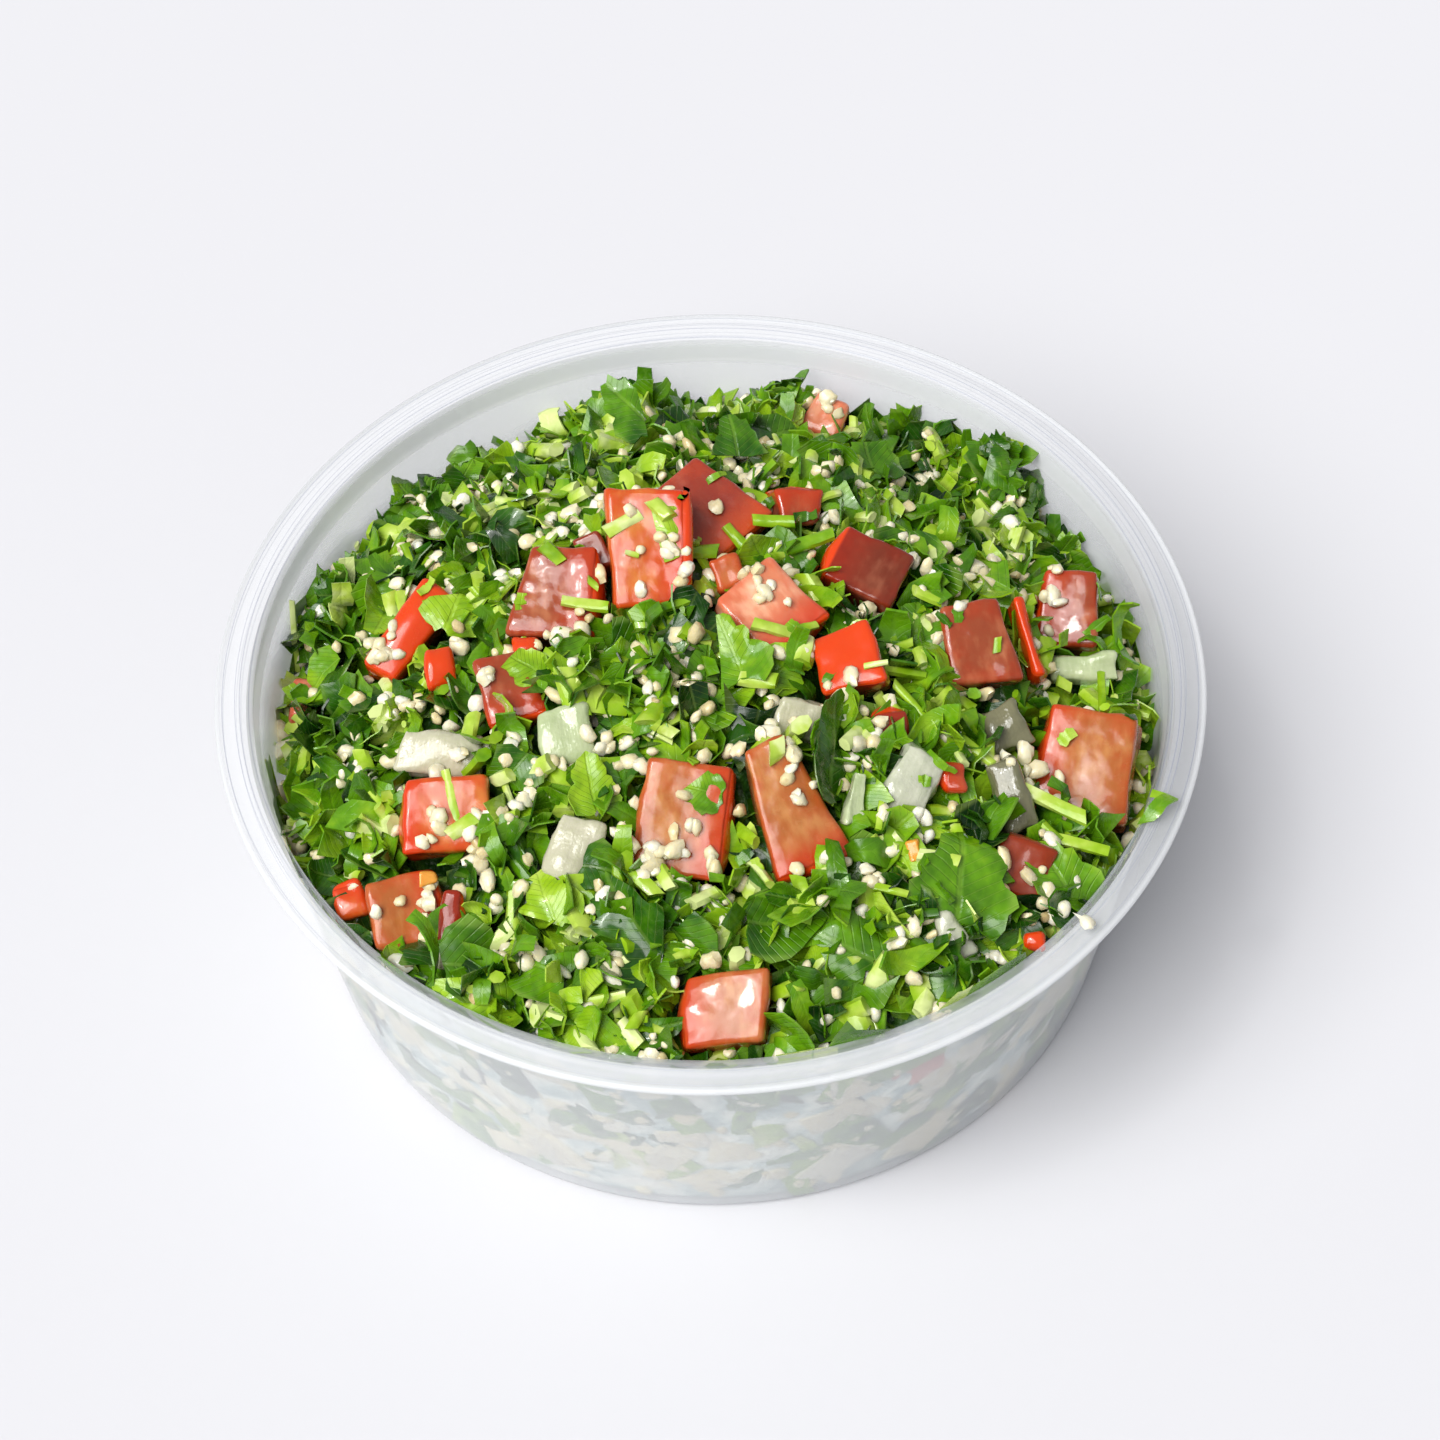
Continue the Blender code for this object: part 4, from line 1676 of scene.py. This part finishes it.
@dataclass
class Tomatoes:
    """The diced tomato."""

    cutter: Cutter = field(default_factory=lambda: Cutter(0.6, 0.45))
    cuts: tuple = (
        Cut((-6.5, 8.0, 53.0), (8.4, 14.0, 5.2), 1.2, -0.6, 30, 0, -1, Flesh.CORAL, Side.RIGHT, 0.2),
        Cut((0.4, 17.0, 49.6), (10.0, 12.0, 4.6), 0.8, -0.8, 22, 4, 40, Flesh.DUSK, Side.NEAR, 0.1),
        Cut((-17.5, 5.0, 48.5), (9.8, 10.6, 7.5), 0.85, 0.8, 28, -6, -6, Flesh.ROSE, Side.RIGHT),
        Cut((6.8, 0.0, 50.3), (9.6, 10.2, 6.6), 0.9, 0, 20, 6, 40, Flesh.PINK, Side.NEAR),
        Cut((16.0, -7.2, 49.6), (7.4, 7.4, 6.2), 0.85, 0.6, 20, -10, 14, Flesh.WINE, Side.TOP, 0.1),
        Cut((18.8, 7.8, 48.0), (9.3, 7.4, 6.5), 0.9, 0, 18, 8, -28, Flesh.WINE, Side.LEFT),
        Cut((31.6, -0.6, 44.0), (8.8, 9.4, 7.0), 0.75, -0.6, 26, 6, 8, Flesh.ROSE, Side.BELOW, 0.5),
        Cut((43.5, 10.0, 37.0), (7.2, 9.2, 7.0), 0.9, 0, 26, -6, -6, Flesh.ROSE, Side.LEFT),
        Cut((43.5, -14.0, 37.5), (11.4, 12.8, 7.0), 0.95, 0, 26, -6, -12, Flesh.PEACH, Side.LEFT),
        Cut((-3.5, -26.0, 46.0), (10.4, 12.6, 7.0), 0.95, 0.4, 32, 0, -8, Flesh.PEACH, Side.RIGHT),
        Cut((8.5, -25.0, 46.5), (9.2, 15.0, 6.5), 0.55, 0.2, 30, 4, 22, Flesh.PEACH, Side.NEAR),
        Cut((-30.0, -23.0, 43.5), (11.0, 8.4, 7.0), 0.85, 0.3, 28, 0, 4, Flesh.CORAL, Side.LEFT),
        Cut((-34.9, -32.3, 38.6), (7.8, 8.0, 6.0), 0.95, 0, 28, 6, 10, Flesh.PEACH, Side.RIGHT),
        Cut((0.6, -47.0, 39.2), (9.4, 8.0, 6.0), 1.05, 1.0, 26, -4, 2, Flesh.PEACH, Side.LEFT),
        Cut((-35.5, 5.5, 41.5), (4.6, 12.6, 6.0), 1.0, 0, 26, 0, -36, Flesh.SKIN, Side.TOP, 0.3),
        Cut((-23.0, -7.4, 46.5), (7.0, 8.0, 5.6), 0.85, -0.5, 28, 0, 16, Flesh.ROSE, Side.NEAR),
        Cut((11.0, 18.6, 47.6), (4.2, 4.8, 4.4), 1.6, 0, 24, 10, 0, Flesh.ROSE, Side.FAR),
        Cut((15.5, 45.0, 34.5), (5.6, 5.4, 5.0), 0.8, 0, 24, 0, -20, Flesh.PINK, Side.BELOW),
        Cut((34.5, -30.0, 41.0), (6.2, 6.6, 3.0), 1.0, 0, 34, 0, -22, Flesh.BRICK, Side.BELOW, 0.1),
    )

    bits: tuple = (
        Cut((-31.5, -2.1, 44.6), (4.2, 5.0, 2.6), 0.8, 0, 26, 0, 12, Flesh.WINE, Side.TOP),
        Cut((-21.0, -2.6, 48.6), (3.6, 2.2, 2.0), 1.0, 0, 28, 0, 0, Flesh.SKIN, Side.TOP),
        Cut((-49.2, 3.9, 31.6), (3.4, 5.4, 3.0), 0.9, 0, 10, 10, 0, Flesh.PINK, Side.BELOW),
        Cut((20.6, -15.2, 47.4), (4.0, 4.4, 3.4), 0.9, 0, 24, 0, 10, Flesh.WINE, Side.FAR),
        Cut((27.5, -20.7, 45.6), (2.6, 3.4, 2.6), 0.9, 0, 26, 0, 0, Flesh.ROSE, Side.LEFT),
        Cut((37.6, 1.4, 42.4), (1.6, 9.6, 5.0), 0.8, 0, 26, 0, 16, Flesh.SKIN, Side.TOP, 0.1),
        Cut((35.4, -38.7, 38.8), (3.0, 2.4, 2.2), 1.0, 0, 26, 0, 0, Flesh.ROSE, Side.TOP),
        Cut((-29.6, -35.3, 41.4), (2.8, 5.8, 3.0), 0.9, 0, 30, 0, -6, Flesh.WINE, Side.RIGHT),
        Cut((-41.3, -30.4, 38.2), (3.8, 4.2, 3.0), 0.9, 0, 28, 0, 14, Flesh.CORAL, Side.FAR),
        Cut((-13.2, 9.6, 50.4), (4.0, 5.0, 4.0), 0.9, 0, 26, 0, 20, Flesh.WINE, Side.BELOW),
        Cut((2.6, 6.2, 50.8), (3.6, 3.4, 3.0), 0.9, 0, 26, 0, 20, Flesh.PEACH, Side.BELOW),
        Cut((21.9, -45.9, 25.0), (7.6, 2.4, 5.4), 0.9, 0, 8, 0, 25, Flesh.PINK, Side.FAR, 0.1),
        Cut((22.4, -30.3, 45.6), (1.5, 2.4, 1.0), 0.8, 0, 30, 0, 20, Flesh.SEED, Side.BELOW),
        Cut((-31.9, -31.1, 43.4), (2.2, 1.6, 1.0), 0.8, 0, 30, 0, 20, Flesh.SEED, Side.BELOW),
    )

    def build(self) -> None:
        """Makes every piece."""
        for number, cut in enumerate(self.cuts, start=1):
            finish = TomatoFinish(f"tomato_{cut.look.name.lower()}_{number:02d}", cut.look)
            self.cutter.build(cut, f"tomato_{number:02d}", "tomato", finish)
        for number, cut in enumerate(self.bits, start=1):
            finish = TomatoFinish(f"tomato_bit_{cut.look.name.lower()}_{number:02d}", cut.look)
            self.cutter.build(cut, f"tomato_bit_{number:02d}", "tomato", finish)


IVORY = OnionFinish("onion_ivory", (0.52, 0.50, 0.37), (0.40, 0.40, 0.25), 0.24)
GREENISH = OnionFinish("onion_greenish", (0.50, 0.56, 0.34), (0.30, 0.38, 0.17), 0.16)
WHITE = OnionFinish("onion_white", (0.54, 0.55, 0.43), (0.32, 0.35, 0.24), 0.15)
GREY = OnionFinish("onion_grey", (0.19, 0.18, 0.10), (0.10, 0.105, 0.06), 0.14)


@dataclass
class Onions:
    """The diced onion."""

    cutter: Cutter = field(default_factory=lambda: Cutter(0.5, 0.3, 6, 2.0))
    cuts: tuple = (
        Cut((-31.0, -14.4, 44.6), (10.6, 4.8, 3.6), 0.85, 0, 30, 0, -8, IVORY, Side.TOP),
        Cut((-15.5, -29.0, 45.5), (5.6, 7.0, 3.6), 0.9, 0, 34, 0, -18, IVORY, Side.TOP),
        Cut((-16.5, -15.5, 48.0), (6.0, 7.0, 3.2), 1.0, 0, 30, 0, 10, GREENISH, Side.TOP),
        Cut((10.0, -14.4, 48.8), (6.0, 5.2, 2.8), 0.95, 0, 30, 6, -12, IVORY, Side.TOP, 0.1),
        Cut((22.5, -22.0, 46.5), (5.6, 8.2, 2.6), 1.0, 0, 32, 4, -28, WHITE, Side.TOP),
        Cut((34.0, -21.0, 42.5), (3.8, 8.6, 2.4), 1.0, 0, 30, 6, 18, GREY, Side.TOP),
        Cut((44.5, 1.0, 37.5), (8.4, 3.4, 2.4), 0.95, 0, 28, 0, 0, GREENISH, Side.TOP),
        Cut((34.0, -11.5, 42.5), (5.8, 5.6, 3.0), 0.8, 0, 28, 0, 20, GREY, Side.TOP),
    )

    bits: tuple = (
        Cut((25.6, -40.2, 41.2), (5.2, 5.2, 1.8), 0.25, 1.2, 34, 0, 30, WHITE, Side.TOP, 0.1),
        Cut((-29.2, -39.5, 40.6), (3.6, 2.8, 1.8), 0.9, 0, 34, 0, 0, IVORY, Side.TOP, 0.1),
        Cut((-12.6, -11.0, 49.9), (3.6, 3.4, 1.8), 0.8, 0, 20, 10, 30, GREENISH, Side.TOP, 0.1),
        Cut((16.0, -24.5, 47.4), (2.6, 6.2, 1.8), 0.6, 0, 30, 20, -8, GREENISH, Side.TOP, 0.1),
    )

    def build(self) -> None:
        """Makes every piece."""
        for number, cut in enumerate(self.cuts, start=1):
            self.cutter.build(cut, f"onion_{number:02d}", "onion", cut.look)
        for number, cut in enumerate(self.bits, start=1):
            self.cutter.build(cut, f"onion_bit_{number:02d}", "onion", cut.look)


@dataclass(frozen=True)
class Window:
    """A wide soft light from far away: where it stands over the table, how wide it looks, its power."""

    name: str = "window"
    bearing: float = 44.0
    elevation: float = 53.0
    width: float = 46.0
    power: float = 3.7
    colour: Triple = (1.0, 0.99, 0.975)

    def build(self) -> bpy.types.Object:
        """Makes the light."""
        lamp = bpy.data.lights.new(self.name, "SUN")
        lamp.angle = math.radians(self.width)
        lamp.energy = self.power
        lamp.color = self.colour
        thing = bpy.data.objects.new(self.name, lamp)
        bpy.context.scene.collection.objects.link(thing)
        flat = math.radians(self.bearing)
        high = math.radians(self.elevation)
        place = Vector((-math.cos(flat) * math.cos(high), -math.sin(flat) * math.cos(high), math.sin(high)))
        thing.location = place
        thing.rotation_euler = place.to_track_quat("Z", "Y").to_euler()
        return thing


@dataclass
class Studio:
    """The pale table, the soft lights and the camera."""

    table: float = 6.0
    sky: Triple = (0.94, 0.95, 1.0)
    sky_strength: float = 0.39
    lamps: tuple = (
        Window(),
        Window("skylight", 30.0, 64.0, 6.0, 0.5),
    )
    lens: float = 81.945
    elevation: float = 52.29
    level: float = -1.51
    distance: float = 420.0
    shift: tuple = (0.57, 18.83)

    def _camera(self) -> None:
        """Makes the camera."""
        tip = math.radians(self.elevation)
        roll = math.radians(self.level)
        back = Vector((0.0, -math.cos(tip), math.sin(tip)))
        up = Vector((0.0, math.sin(tip), math.cos(tip)))
        right = Vector((1.0, 0.0, 0.0))
        across = right * math.cos(roll) + up * math.sin(roll)
        upward = up * math.cos(roll) - right * math.sin(roll)
        place = (back * self.distance + across * self.shift[0] + upward * self.shift[1]) * MM
        lens = bpy.data.cameras.new("camera")
        lens.lens = self.lens
        lens.sensor_width = 36.0
        lens.clip_start = 0.01
        thing = bpy.data.objects.new("camera", lens)
        bpy.context.scene.collection.objects.link(thing)
        frame_axes = Matrix((across, upward, back)).transposed().to_4x4()
        thing.matrix_world = Matrix.Translation(place) @ frame_axes
        bpy.context.scene.camera = thing

    def build(self) -> None:
        """Makes the studio."""
        shape = bmesh.new()
        bmesh.ops.create_grid(shape, x_segments=1, y_segments=1, size=self.table / 2.0)
        bmesh.ops.translate(shape, vec=(0.0, 0.0, -0.0001), verts=shape.verts)
        mesh = bpy.data.meshes.new("table_top")
        shape.to_mesh(mesh)
        shape.free()
        link_mesh("table_top", mesh, FloorFinish().make())
        for lamp in self.lamps:
            lamp.build()
        world = bpy.data.worlds.new("soft_sky")
        world.use_nodes = True
        sky = world.node_tree.nodes["Background"]
        sky.inputs["Color"].default_value = (*self.sky, 1.0)
        sky.inputs["Strength"].default_value = self.sky_strength
        bpy.context.scene.world = world
        bpy.context.scene.view_settings.view_transform = "Standard"
        self._camera()
        log.info("studio: %d lamps", len(self.lamps))


def main() -> None:
    """Builds everything in order."""
    logging.basicConfig(level=logging.INFO, format="%(name)s: %(message)s")
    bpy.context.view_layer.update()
    tub = Tub()
    heap = Heap(frame["nodes"])
    Core(heap, tub).build()
    Chopped(heap, tub).build()
    Garnish(heap).build()
    Tomatoes().build()
    Onions().build()
    tub.build()
    Studio().build()


if __name__ == "__main__":
    main()
